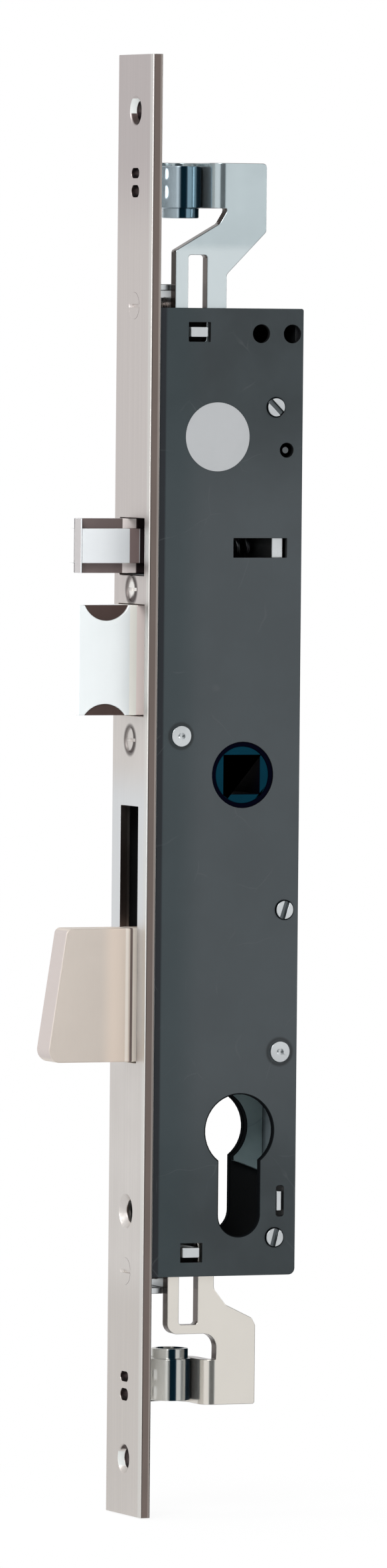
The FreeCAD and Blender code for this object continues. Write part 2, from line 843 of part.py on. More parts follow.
def make_trigger_spring():
    back = forend_thickness + trigger_inside
    start = back + trigger_spring_wire + running_gap
    length = guide_plate_x - trigger_spring_wire - running_gap - start
    return coil(trigger_spring_radius, trigger_spring_wire, trigger_spring_turns, length,
                2 * trigger_spring_wire, lambda u, v, w: vec(start + w, spring_y() + u, trigger_z + v))


def make_trigger_guide():
    half = guide_plate_height / 2
    return block(guide_plate_x, guide_plate_x + guide_plate_thickness, near_wall, far_wall,
                 trigger_z - half, trigger_z + half)


def tooth_half_angle(radius):
    """Half of a gear tooth's width at a radius, as an angle."""
    pressure = math.radians(gear_pressure_angle)
    base = pitch_radius * math.cos(pressure)
    here = math.acos(min(1.0, base / radius))
    half_pitch = math.pi / (2 * gear_teeth) - gear_backlash / (2 * pitch_radius)
    return half_pitch + (math.tan(pressure) - pressure) - (math.tan(here) - here)


def make_bolt_gear():
    """An involute gear fixed to the deadbolt, in mesh with both racks."""
    base = pitch_radius * math.cos(math.radians(gear_pressure_angle))
    tip = pitch_radius + gear_addendum * gear_module
    root = pitch_radius - gear_dedendum * gear_module

    def at(radius, angle):
        return vec(pivot_x + radius * math.cos(angle), slider_near + side_gap,
                   pivot_z + radius * math.sin(angle))

    edges = []
    for i in range(gear_teeth):
        centre = 2 * math.pi * i / gear_teeth
        low, mid, high = tooth_half_angle(base), tooth_half_angle(pitch_radius), tooth_half_angle(tip)
        edges.append(Part.LineSegment(at(root, centre - low), at(base, centre - low)).toShape())
        edges.append(Part.Arc(at(base, centre - low), at(pitch_radius, centre - mid),
                              at(tip, centre - high)).toShape())
        edges.append(Part.Arc(at(tip, centre - high), at(tip, centre), at(tip, centre + high)).toShape())
        edges.append(Part.Arc(at(tip, centre + high), at(pitch_radius, centre + mid),
                              at(base, centre + low)).toShape())
        edges.append(Part.LineSegment(at(base, centre + low), at(root, centre + low)).toShape())
        following = centre + 2 * math.pi / gear_teeth
        edges.append(Part.Arc(at(root, centre + low), at(root, centre + math.pi / gear_teeth),
                              at(root, following - low)).toShape())
    bolt_near = -bolt_thickness / 2
    gear = Part.Face(Part.Wire(edges)).extrude(vec(0, bolt_near - slider_near - side_gap, 0))
    return gear.cut(round_y(pivot_x, pivot_z, pivot_radius + running_gap, -big_cut, big_cut))


def rack_cutter(pitch_line, facing, z_low, z_high):
    """The tooth spaces of a rack whose teeth point along X by facing, over a stretch of Z."""
    slope = math.tan(math.radians(gear_pressure_angle))
    space = (tooth_pitch + gear_backlash) / 2
    tips = gear_addendum * gear_module
    roots = gear_dedendum * gear_module
    spaces = []
    first = math.ceil((z_low - pivot_z) / tooth_pitch)
    last = math.floor((z_high - pivot_z) / tooth_pitch)
    for k in range(first, last + 1):
        z = pivot_z + k * tooth_pitch
        wide = space / 2 + (tips + 1) * slope
        narrow = space / 2 - roots * slope
        outer = pitch_line + facing * (tips + 1)
        inner = pitch_line - facing * roots
        spaces.append(plate_xz([(outer, z - wide, 0), (outer, z + wide, 0),
                                (inner, z + narrow, 0), (inner, z - narrow, 0)], -big_cut, 0))
    return spaces


def make_deadbolt():
    r = bolt_tip_corner
    back = pivot_x + (bolt_top - pivot_z)
    heel = pivot_z - (bolt_top - pivot_z)
    outline = [(-bolt_tip_top, bolt_top, r / 2), (back, bolt_top, (bolt_top - pivot_z) * 0.98),
               (back, heel, (bolt_top - pivot_z) * 0.98), (pivot_x - 2.0, heel, 1.0),
               (bolt_heel_x, bolt_bottom, 2.0), (-bolt_tip_bottom, bolt_bottom, r)]
    half = bolt_thickness / 2
    bolt = plate_xz(outline, -half, half)
    return bolt.cut(round_y(pivot_x, pivot_z, pivot_radius + running_gap, -big_cut, big_cut))


def make_pivot():
    return round_y(pivot_x, pivot_z, pivot_radius, near_wall, far_wall)


def make_pivot_collar():
    low = bolt_thickness / 2 + slide_gap
    ring = round_y(pivot_x, pivot_z, pivot_collar_radius, low, far_wall)
    return ring.cut(round_y(pivot_x, pivot_z, pivot_radius + fixed_gap, -big_cut, big_cut))


def eye_strip(z0, z1):
    """The strip that turns back from the plate and wraps round the far side of the rod bush."""
    turn = math.radians(eye_wrap)
    bend_y = slider_near + bend_outer
    slant = math.sqrt(0.5)

    def ring(radius, angle):
        return vec(eye_x + radius * math.cos(angle), radius * math.sin(angle), z0)

    web = eye_x + eye_inner
    over = plate_left + 0.5
    edges = [
        Part.LineSegment(vec(over, slider_near, z0), vec(plate_left, slider_near, z0)).toShape(),
        Part.Arc(vec(plate_left, slider_near, z0),
                 vec(plate_left - bend_outer * slant, bend_y - bend_outer * slant, z0),
                 vec(web, bend_y, z0)).toShape(),
        Part.LineSegment(vec(web, bend_y, z0), ring(eye_inner, 0)).toShape(),
        Part.Arc(ring(eye_inner, 0), ring(eye_inner, turn / 2), ring(eye_inner, turn)).toShape(),
        Part.LineSegment(ring(eye_inner, turn), ring(eye_outer, turn)).toShape(),
        Part.Arc(ring(eye_outer, turn), ring(eye_outer, turn / 2), ring(eye_outer, 0)).toShape(),
        Part.LineSegment(ring(eye_outer, 0), vec(web + slider_plate, bend_y, z0)).toShape(),
        Part.Arc(vec(web + slider_plate, bend_y, z0),
                 vec(plate_left - eye_bend * slant, bend_y - eye_bend * slant, z0),
                 vec(plate_left, slider_far, z0)).toShape(),
        Part.LineSegment(vec(plate_left, slider_far, z0), vec(over, slider_far, z0)).toShape(),
        Part.LineSegment(vec(over, slider_far, z0), vec(over, slider_near, z0)).toShape(),
    ]
    return Part.Face(Part.Wire(edges)).extrude(vec(0, 0, z1 - z0))


def make_upper_slider():
    pitch_line = pivot_x + pitch_radius
    teeth_low = pivot_z - 1.5 * tooth_pitch
    teeth_high = pivot_z + rod_travel + 1.5 * tooth_pitch
    tips = pitch_line - gear_addendum * gear_module
    roots = pitch_line + gear_dedendum * gear_module
    cross_bottom = cross_top - cross_height
    jog_left = upper_eye_bottom - upper_jog_left_drop
    jog_right = upper_eye_bottom - upper_jog_right_drop
    end_right = plate_left + upper_end_width
    outline = [(plate_left, upper_eye_top, 0), (end_right, upper_eye_top, 1.0),
               (end_right, jog_right, 1.2), (shank_right, jog_right - upper_neck_slope, 1.2),
               (shank_right, upper_shank_end, 1.0), (strip_right, upper_strip_start, 1.0),
               (strip_right, cross_top, 1.0), (cross_right, cross_top, 2.5), (cross_right, teeth_low, 0.5),
               (tips, teeth_low, 0), (tips, teeth_high, 0.3), (roots, teeth_high, 0.3),
               (roots, cross_bottom, 1.0), (strip_left + cross_chamfer, cross_bottom, 2.0),
               (strip_left, cross_bottom + cross_chamfer, 2.0), (strip_left, upper_left_step_end, 1.0),
               (shank_left, upper_left_step, 1.0), (shank_left, jog_left - upper_neck_slope_left, 0.8),
               (plate_left - upper_neck_inset, jog_left, 1.5), (plate_left, jog_left + upper_neck_rise, 1.5)]
    plate = plate_xz(outline, slider_near, slider_far)
    body = join([plate, eye_strip(upper_eye_bottom, upper_eye_top)])
    window_z = end_windows()[0][1]
    cuts = rack_cutter(pitch_line, -1, teeth_low, teeth_high)
    cuts.append(plate_xz(rectangle(slot_left, slot_right, window_z - end_window[1] / 2,
                                   upper_slot_end, 0.8), -big_cut, 0))
    post = rivet_post_radius + slide_gap
    cuts.append(plate_xz(rectangle(rivet_x - post, rivet_x + post, rivet_z - post - slide_gap,
                                   rivet_z + rod_travel + post + slide_gap, post * 0.98), -big_cut, 0))
    return body.cut(cuts)


def make_lower_slider():
    pitch_line = pivot_x - pitch_radius
    teeth_low = pivot_z - rod_travel - 1.5 * tooth_pitch
    teeth_high = pivot_z + 1.5 * tooth_pitch
    tips = pitch_line + gear_addendum * gear_module
    roots = pitch_line - gear_dedendum * gear_module
    rack_end = case_bottom + lower_rack_step
    shoulder_x = lower_shank_right + lower_shoulder[0]
    shoulder_z = case_bottom - lower_shoulder[1]
    end_right = plate_left + lower_end_width
    outline = [(rack_left, teeth_high, 1.0), (tips, teeth_high, 0.3), (tips, teeth_low, 0.3),
               (roots, teeth_low, 0.3), (roots, rack_end, 1.0),
               (lower_shank_right, rack_end - lower_rack_slope, 1.0),
               (lower_shank_right, lower_shoulder_top - lower_shoulder[0], 2.0),
               (shoulder_x, shoulder_z, 2.0),
               (end_right - lower_end_shoulder[0], case_bottom - lower_end_shoulder[1], 1.2),
               (end_right, case_bottom - lower_end_start, 1.0), (end_right, lower_eye_bottom, 0.6),
               (plate_left, lower_eye_bottom, 0), (plate_left, lower_foot, 3.4),
               (lower_left, lower_foot, 2.6), (lower_left, rack_end, 1.0),
               (rack_left, case_bottom + lower_left_step, 1.0)]
    plate = plate_xz(outline, slider_near, slider_far)
    body = join([plate, eye_strip(lower_eye_bottom, lower_eye_top)])
    window_z = end_windows()[1][1]
    cuts = rack_cutter(pitch_line, 1, teeth_low, teeth_high)
    cuts.append(plate_xz(rectangle(slot_left, slot_right, lower_slot_end,
                                   window_z + end_window[1] / 2, 0.8), -big_cut, 0))
    return body.cut(cuts)


def make_rod_bush(body_ends, neck_ends):
    """A tapped bush in a slider's eye, with a narrower neck towards the case."""
    body = round_z(eye_x, 0, rod_bush_radius, *body_ends)
    neck = round_z(eye_x, 0, bush_neck_radius, *neck_ends)
    return join([body, neck]).cut(round_z(eye_x, 0, rod_thread_radius, body_ends[0] - big_cut,
                                          body_ends[1] + big_cut))


def make_key_dogs():
    """The pair of dogs on the lower slider that the cylinder's cam pushes."""
    middle = cylinder_z - rod_travel / 2
    half = key_dog_gap / 2
    right = pivot_x - pitch_radius - gear_dedendum * gear_module
    left = right - key_dog_width
    base = block(left, right, slider_far, slider_far + key_dog_base,
                 middle - half - key_dog, middle + half + key_dog)
    dogs = [block(left, right, slider_far, slider_far + key_dog_reach, middle + half, middle + half + key_dog),
            block(left, right, slider_far, slider_far + key_dog_reach, middle - half - key_dog, middle - half)]
    return join([base] + dogs)


def write(name, shapes):
    solids = shapes if isinstance(shapes, list) else [shapes]
    found = [s for shape in solids for s in shape.Solids]
    for solid in found:
        if not solid.isValid():
            print("not valid:", name)
    shape = found[0] if len(found) == 1 else Part.makeCompound(found)
    shape.exportStep("parts/" + name + ".step")
    print("%-22s %d solid, %.0f mm3" % (name, len(found), sum(s.Volume for s in found)))


def main():
    os.makedirs("parts", exist_ok=True)
    heights = forend_screw_heights()
    write("forend", make_forend())
    write("forend_screws", make_forend_screws())
    write("case_tray", make_tray())
    write("case_cover", make_cover())
    write("cover_screws", make_cover_screws())
    write("guide_rivet", rivet(rivet_x, rivet_z, rivet_post_radius))
    write("case_rivet", rivet(case_rivet_x, case_rivet_z, rivet_head_radius))
    write("cover_tab", make_cover_tab())
    write("locating_pin", make_locating_pin())
    write("cylinder_support", make_cylinder_support())
    write("round_label", make_label())
    write("latch_fixing_block", make_forend_block(upper_block_z))
    write("rivet_fixing_block", make_forend_block(lower_block_z))
    write("upper_end_bracket", make_end_bracket(heights[0], 1))
    write("lower_end_bracket", make_end_bracket(heights[3], -1))
    write("upper_guide_block", make_guide_block(*end_windows()[0]))
    write("lower_guide_block", make_guide_block(*end_windows()[1]))
    write("follower", make_follower())
    write("follower_bush_near", make_bush(-1))
    write("follower_bush_far", make_bush(1))
    write("follower_spring", make_follower_spring())
    write("latch_head", make_latch_head())
    write("latch_pads", make_latch_pads())
    write("latch_tail", make_latch_tail())
    write("latch_spring", make_latch_spring())
    write("trigger", make_trigger())
    write("trigger_rails", make_trigger_rails())
    write("trigger_spring", make_trigger_spring())
    write("trigger_guide", make_trigger_guide())
    write("deadbolt", make_deadbolt())
    write("deadbolt_gear", make_bolt_gear())
    write("deadbolt_pivot", make_pivot())
    write("pivot_collar", make_pivot_collar())
    write("upper_slider", make_upper_slider())
    write("lower_slider", make_lower_slider())
    write("upper_rod_bush", make_rod_bush((upper_eye_bottom, upper_eye_top - bush_sunk),
                                          (upper_eye_bottom - bush_proud, upper_eye_bottom)))
    write("lower_rod_bush", make_rod_bush((lower_eye_bottom + bush_sunk, lower_eye_top),
                                          (lower_eye_top, lower_eye_top + bush_proud)))
    write("key_dogs", make_key_dogs())


main()
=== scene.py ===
"""Dresses a narrow multi-point mortise lock: finishes, rounded edges, threads, studio and camera."""

from __future__ import annotations

import json
import logging
import math
from dataclasses import dataclass, field
from enum import Enum
from functools import cached_property, reduce

import bmesh
import bpy
from bpy.types import Material, Mesh, Node, NodeSocket, NodeTree, Object
from mathutils import Matrix, Vector

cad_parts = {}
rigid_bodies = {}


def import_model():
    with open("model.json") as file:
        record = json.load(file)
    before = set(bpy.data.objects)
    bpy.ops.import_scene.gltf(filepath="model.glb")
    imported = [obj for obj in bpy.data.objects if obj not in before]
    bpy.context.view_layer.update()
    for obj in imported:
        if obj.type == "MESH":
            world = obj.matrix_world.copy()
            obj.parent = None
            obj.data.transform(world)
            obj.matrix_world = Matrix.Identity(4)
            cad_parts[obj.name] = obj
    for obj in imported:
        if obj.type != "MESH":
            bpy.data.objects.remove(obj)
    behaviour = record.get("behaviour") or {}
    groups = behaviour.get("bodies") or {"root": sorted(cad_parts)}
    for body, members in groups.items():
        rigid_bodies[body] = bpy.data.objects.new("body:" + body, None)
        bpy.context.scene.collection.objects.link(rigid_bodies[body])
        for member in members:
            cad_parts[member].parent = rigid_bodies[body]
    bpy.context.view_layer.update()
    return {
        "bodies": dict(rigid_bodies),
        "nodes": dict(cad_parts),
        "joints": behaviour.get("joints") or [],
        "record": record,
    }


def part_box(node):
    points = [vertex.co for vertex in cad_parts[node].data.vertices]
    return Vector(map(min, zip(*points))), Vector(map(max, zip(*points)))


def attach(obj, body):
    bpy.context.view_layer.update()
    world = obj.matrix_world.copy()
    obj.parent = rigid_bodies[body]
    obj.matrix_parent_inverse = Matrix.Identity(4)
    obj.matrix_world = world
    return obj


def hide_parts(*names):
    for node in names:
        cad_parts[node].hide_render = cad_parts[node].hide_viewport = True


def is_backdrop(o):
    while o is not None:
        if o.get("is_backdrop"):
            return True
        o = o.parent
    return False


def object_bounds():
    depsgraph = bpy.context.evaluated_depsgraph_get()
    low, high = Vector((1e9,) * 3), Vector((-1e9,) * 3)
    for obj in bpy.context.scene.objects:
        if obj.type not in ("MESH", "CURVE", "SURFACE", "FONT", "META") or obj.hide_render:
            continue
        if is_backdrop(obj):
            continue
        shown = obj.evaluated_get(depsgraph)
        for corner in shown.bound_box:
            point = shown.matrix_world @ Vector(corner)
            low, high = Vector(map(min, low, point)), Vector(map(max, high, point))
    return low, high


MM = 0.001
SHARP_MM = 0.02
CRISP_MM = 0.05
SOFT_MM = 0.1
WHITE = (1.0, 1.0, 1.0)
log = logging.getLogger("door_lock")

Color = tuple[float, float, float]
Place = tuple[float, float, float]
Span = tuple[float, float]
Sizes = tuple[float, ...]


def screen(red: int, green: int, blue: int) -> Color:
    """Turns a colour as a screen shows it into the light values that a shader takes.

    Args:
        red: Red from 0 to 255.
        green: Green from 0 to 255.
        blue: Blue from 0 to 255.

    Returns:
        The linear colour.
    """
    def linear(value: int) -> float:
        """Follows the screen's standard curve, straight near black and a power above it."""
        share = value / 255
        return share / 12.92 if share <= 0.04045 else ((share + 0.055) / 1.055) ** 2.4

    return linear(red), linear(green), linear(blue)


def emptied(owner: Material | bpy.types.World) -> NodeTree:
    """Switches a material or a world to nodes, and clears them.

    Args:
        owner: The material or the world.

    Returns:
        Its empty tree.
    """
    owner.use_nodes = True
    owner.node_tree.nodes.clear()
    return owner.node_tree


def add_object(name: str, data: bpy.types.ID) -> Object:
    """Puts a new object into the scene.

    Args:
        name: The object's name.
        data: Its mesh, lamp or camera.

    Returns:
        The object.
    """
    thing = bpy.data.objects.new(name, data)
    bpy.context.scene.collection.objects.link(thing)
    return thing


def settle(piece: Object, name: str) -> Mesh:
    """Turns what a piece's modifiers make into its plain mesh, and removes them.

    Args:
        piece: The object with its modifiers.
        name: The new mesh's name.

    Returns:
        The plain mesh, which the piece now has.
    """
    finished = bpy.data.meshes.new_from_object(
        piece.evaluated_get(bpy.context.evaluated_depsgraph_get()))
    piece.modifiers.clear()
    piece.data = finished
    finished.name = name
    return finished


class Direction(Enum):
    """The lock's own directions."""

    FRONT = (-1.0, 0.0, 0.0)
    INWARD = (1.0, 0.0, 0.0)
    NEAR = (0.0, -1.0, 0.0)
    FAR = (0.0, 1.0, 0.0)
    UP = (0.0, 0.0, 1.0)


@dataclass
class Bench:
    """The node tree of a material, a world or a group, with short calls that add nodes to it."""

    tree: NodeTree
    COLUMNS = 12
    CELL = (180, 260)

    def add(self, kind: str, feeds: dict[int | str, object] | None = None,
            **settings: object) -> Node:
        """Adds a node.

        Args:
            kind: The node's type name.
            feeds: A socket or a constant for each input, by its number or name.
            **settings: Properties to set on the node.

        Returns:
            The new node.
        """
        node = self.tree.nodes.new(kind)
        for name, value in settings.items():
            setattr(node, name, value)
        for key, value in (feeds or {}).items():
            self.feed(node.inputs[key], value)
        row, column = divmod(len(self.tree.nodes), self.COLUMNS)
        node.location = (column * self.CELL[0], -row * self.CELL[1])
        return node

    def feed(self, target: NodeSocket, source: object) -> None:
        """Joins a socket to another one, or sets it to a constant.

        Args:
            target: The input socket.
            source: An output socket or a constant.
        """
        if isinstance(source, NodeSocket):
            self.tree.links.new(source, target)
        elif target.type == "RGBA" and len(source) == 3:
            target.default_value = (*source, 1.0)
        else:
            target.default_value = source

    def math(self, operation: str, first: object, second: object = 0.0) -> NodeSocket:
        """Adds a Math node, whose operands are sockets or numbers, and returns its result."""
        return self.add("ShaderNodeMath", {0: first, 1: second}, operation=operation).outputs[0]

    def scaled(self, value: object, factor: float, offset: float) -> NodeSocket:
        """Multiplies a value by a factor and adds an offset."""
        feeds = {0: value, 1: factor, 2: offset}
        return self.add("ShaderNodeMath", feeds, operation="MULTIPLY_ADD").outputs[0]

    def all_of(self, *masks: object) -> NodeSocket:
        """Multiplies masks and shares, sockets or numbers, with each other."""
        return reduce(lambda first, second: self.math("MULTIPLY", first, second), masks)

    def vector(self, operation: str, *operands: object) -> Node:
        """Adds a Vector Math node."""
        return self.add("ShaderNodeVectorMath", dict(enumerate(operands)), operation=operation)

    def noise(self, place: object, scale: object, detail: float = 2.0,
              roughness: float = 0.5) -> Node:
        """Adds a Noise Texture node with so many patches in a metre, and finer layers on them."""
        return self.add("ShaderNodeTexNoise", {"Vector": place, "Scale": scale, "Detail": detail,
                                               "Roughness": roughness})

    def between(self, value: object, low: object, high: object) -> NodeSocket:
        """Ramps a value smoothly from 0 at low to 1 at high."""
        feeds = {"Value": value, "From Min": low, "From Max": high}
        return self.add("ShaderNodeMapRange", feeds, interpolation_type="SMOOTHSTEP").outputs[0]

    def blend(self, share: object, first: object, second: object, kind: str = "MIX") -> NodeSocket:
        """Mixes two colours, whose sockets come after those for numbers and vectors."""
        feeds = {0: share, 6: first, 7: second}
        return self.add("ShaderNodeMix", feeds, data_type="RGBA", blend_type=kind).outputs[2]

    def mix_shaders(self, share: object, first: Node, second: Node) -> Node:
        """Mixes two shaders, with so much of the second one."""
        feeds = {0: share, 1: first.outputs[0], 2: second.outputs[0]}
        return self.add("ShaderNodeMixShader", feeds)

    def use(self, group: NodeTree, **values: object) -> Node:
        """Places a node group and feeds its inputs, named with underscores for blanks."""
        feeds = {name.replace("_", " "): value for name, value in values.items()}
        return self.add("ShaderNodeGroup", feeds, node_tree=group)


class SharedEffects:
    """The effects that several finishes use, each a node group that is built when first used."""

    LINE_DETAIL: Span = (3.0, 0.65)
    PATCH_DETAIL: Span = (4.0, 0.55)
    PATCH_RANGE: Span = (0.32, 0.68)
    CUT_RANGE: Span = (0.75, 0.45)
    FACING_RISE = 0.25
    SCRATCH_SHARE = 0.012
    SCRATCH_BEND = 0.01
    SCRATCH_BENDS_PER_M = 60.0
    SCRATCHED_SPOTS_PER_M = 90.0
    SCRATCHED_RANGE: Span = (0.5, 0.62)

    @staticmethod
    def _group(name: str, result: str, numbers: dict[str, float],
               vectors: dict[str, Place | None]) -> tuple[Bench, dict[str, NodeSocket], NodeSocket]:
        """Starts a group with its sockets.

        Args:
            name: The group's name.
            result: The name of its output, a number.
            numbers: The number inputs with their defaults.
            vectors: The vector inputs with their defaults, if any.

        Returns:
            The group's bench, its input sockets by their names, and its output socket.
        """
        tree = bpy.data.node_groups.new(name, "ShaderNodeTree")
        inputs = [(label, "NodeSocketVector", default) for label, default in vectors.items()]
        inputs += [(label, "NodeSocketFloat", default) for label, default in numbers.items()]
        for label, kind, default in inputs:
            socket = tree.interface.new_socket(label, in_out="INPUT", socket_type=kind)
            if default is not None:
                socket.default_value = default
        tree.interface.new_socket(result, in_out="OUTPUT", socket_type="NodeSocketFloat")
        bench = Bench(tree)
        source = dict(bench.add("NodeGroupInput").outputs.items())
        return bench, source, bench.add("NodeGroupOutput").inputs[0]

    @cached_property
    def drawn_lines(self) -> NodeTree:
        """Fine lines along one direction, as rolling and grinding leave them."""
        bench, source, result = self._group(
            "drawn lines", "Line", {"Lines per mm": 5.0},
            {"Vector": None, "Stretch": (1.0, 1.0, 0.02)})
        stretched = bench.vector("MULTIPLY", source["Vector"], source["Stretch"])
        scale = bench.math("MULTIPLY", source["Lines per mm"], 1 / MM)
        noise = bench.noise(stretched.outputs[0], scale, *self.LINE_DETAIL)
        bench.feed(result, noise.outputs["Fac"])
        return bench.tree

    @cached_property
    def cloudy_tone(self) -> NodeTree:
        """Soft uneven patches, as plating and handling leave them."""
        bench, source, result = self._group("cloudy tone", "Tone", {"Patch mm": 12.0},
                                            {"Vector": None})
        scale = bench.math("DIVIDE", 1 / MM, source["Patch mm"])
        noise = bench.noise(source["Vector"], scale, *self.PATCH_DETAIL)
        bench.feed(result, bench.between(noise.outputs["Fac"], *self.PATCH_RANGE))
        return bench.tree

    @cached_property
    def ring_mark(self) -> NodeTree:
        """A soft ring about an axis, such as the painted shade round a rivet."""
        bench, source, result = self._group(
            "ring mark", "Ring", {"Radius": 0.003, "Width": 0.001},
            {"Vector": None, "Centre": (0.0, 0.0, 0.0), "Across": (1.0, 0.0, 1.0)})
        away = bench.vector("SUBTRACT", source["Vector"], source["Centre"])
        flat = bench.vector("MULTIPLY", away.outputs[0], source["Across"])
        reach = bench.vector("LENGTH", flat.outputs[0]).outputs["Value"]
        off = bench.math("ABSOLUTE", bench.math("SUBTRACT", reach, source["Radius"]))
        share = bench.math("DIVIDE", off, source["Width"])
        bench.feed(result, bench.between(share, 1.0, 0.0))
        return bench.tree

    @cached_property
    def cut_faces(self) -> NodeTree:
        """A mask of the faces that a blade cut, those that don't face a sheet's own way."""
        bench, source, result = self._group("cut faces", "Cut", {},
                                            {"Sheet way": (0.0, 1.0, 0.0)})
        surface = bench.add("ShaderNodeNewGeometry")
        along = bench.vector("DOT_PRODUCT", surface.outputs["True Normal"], source["Sheet way"])
        flat = bench.math("ABSOLUTE", along.outputs["Value"])
        bench.feed(result, bench.between(flat, *self.CUT_RANGE))
        return bench.tree

    @cached_property
    def scuffs(self) -> NodeTree:
        """A few long thin scratches."""
        bench, source, result = self._group("scuffs", "Scuff", {"Cell mm": 9.0}, {"Vector": None})
        place = source["Vector"]
        bent = bench.noise(place, self.SCRATCH_BENDS_PER_M)
        moved = bench.add("ShaderNodeMix", {0: self.SCRATCH_BEND, 4: place, 5: bent.outputs["Color"]},
                          data_type="VECTOR")
        scale = bench.math("DIVIDE", 1 / MM, source["Cell mm"])
        cells = bench.add("ShaderNodeTexVoronoi", {"Vector": moved.outputs[1], "Scale": scale},
                          feature="DISTANCE_TO_EDGE")
        thin = bench.between(cells.outputs["Distance"], self.SCRATCH_SHARE, 0.0)
        spots = bench.noise(place, self.SCRATCHED_SPOTS_PER_M)
        scratched = bench.between(spots.outputs["Fac"], *self.SCRATCHED_RANGE)
        bench.feed(result, bench.all_of(thin, scratched))
        return bench.tree

    @cached_property
    def facing(self) -> NodeTree:
        """A mask of the faces that look one way."""
        bench, source, result = self._group("facing", "Mask", {"Least": 0.6},
                                            {"Way": (0.0, -1.0, 0.0)})
        surface = bench.add("ShaderNodeNewGeometry")
        along = bench.vector("DOT_PRODUCT", surface.outputs["Normal"], source["Way"])
        full = bench.math("ADD", source["Least"], self.FACING_RISE)
        bench.feed(result, bench.between(along.outputs["Value"], source["Least"], full))
        return bench.tree

    @cached_property
    def stretch_of(self) -> NodeTree:
        """A mask of a stretch along one direction, soft at both ends."""
        bench, source, result = self._group(
            "stretch", "Mask", {"Low mm": 0.0, "High mm": 1.0, "Soft mm": 0.1},
            {"Vector": None, "Way": (0.0, 0.0, 1.0)})
        along = bench.vector("DOT_PRODUCT", source["Vector"], source["Way"])
        reach = bench.math("MULTIPLY", along.outputs["Value"], 1 / MM)
        low, high, soft = (source[name] for name in ("Low mm", "High mm", "Soft mm"))
        rise = bench.between(reach, bench.math("SUBTRACT", low, soft), low)
        fall = bench.between(reach, bench.math("ADD", high, soft), high)
        bench.feed(result, bench.all_of(rise, fall))
        return bench.tree


@dataclass
class Surface(Bench):
    """A material's bench, with the shared effects laid over the piece's own coordinates."""

    effects: SharedEffects

    def __post_init__(self) -> None:
        """Adds the coordinates."""
        self.place = self.add("ShaderNodeTexCoord").outputs["Object"]

    def stretch(self, way: Direction, low_mm: float, high_mm: float, soft_mm: float) -> NodeSocket:
        """Masks the piece from one place along a direction to another, fading beyond both."""
        return self.use(self.effects.stretch_of, Vector=self.place, Way=way.value, Low_mm=low_mm,
                        High_mm=high_mm, Soft_mm=soft_mm).outputs[0]

    def ring(self, centre_mm: Place, radius_mm: float, width_mm: float,
             across: Place = (1.0, 0.0, 1.0)) -> NodeSocket:
        """Masks a soft ring, or a soft disc where its radius is 0.

        Args:
            centre_mm: The ring's centre.
            radius_mm: Its radius.
            width_mm: How far it fades to each side.
            across: 1 for the axes that the ring lies in, and 0 for its own axis.

        Returns:
            The mask's socket.
        """
        return self.use(self.effects.ring_mark, Vector=self.place,
                        Centre=tuple(value * MM for value in centre_mm), Radius=radius_mm * MM,
                        Width=width_mm * MM, Across=across).outputs[0]

    def facing(self, way: Direction, least: float = 0.6) -> NodeSocket:
        """Masks the faces that look one way; the least cosine that counts can be given."""
        return self.use(self.effects.facing, Way=way.value, Least=least).outputs[0]

    def cut(self) -> NodeSocket:
        """Masks the cut faces of sheets that lie in the case's plane."""
        return self.use(self.effects.cut_faces, Sheet_way=Direction.NEAR.value).outputs[0]


@dataclass(frozen=True)
class Band:
    """A stretch of a piece along one direction that gets another colour; many bands are painted light
    and shade.
    """

    color: Color
    low_mm: float
    high_mm: float
    way: Direction = Direction.INWARD
    soft_mm: float = 0.2
    share: float = 1.0


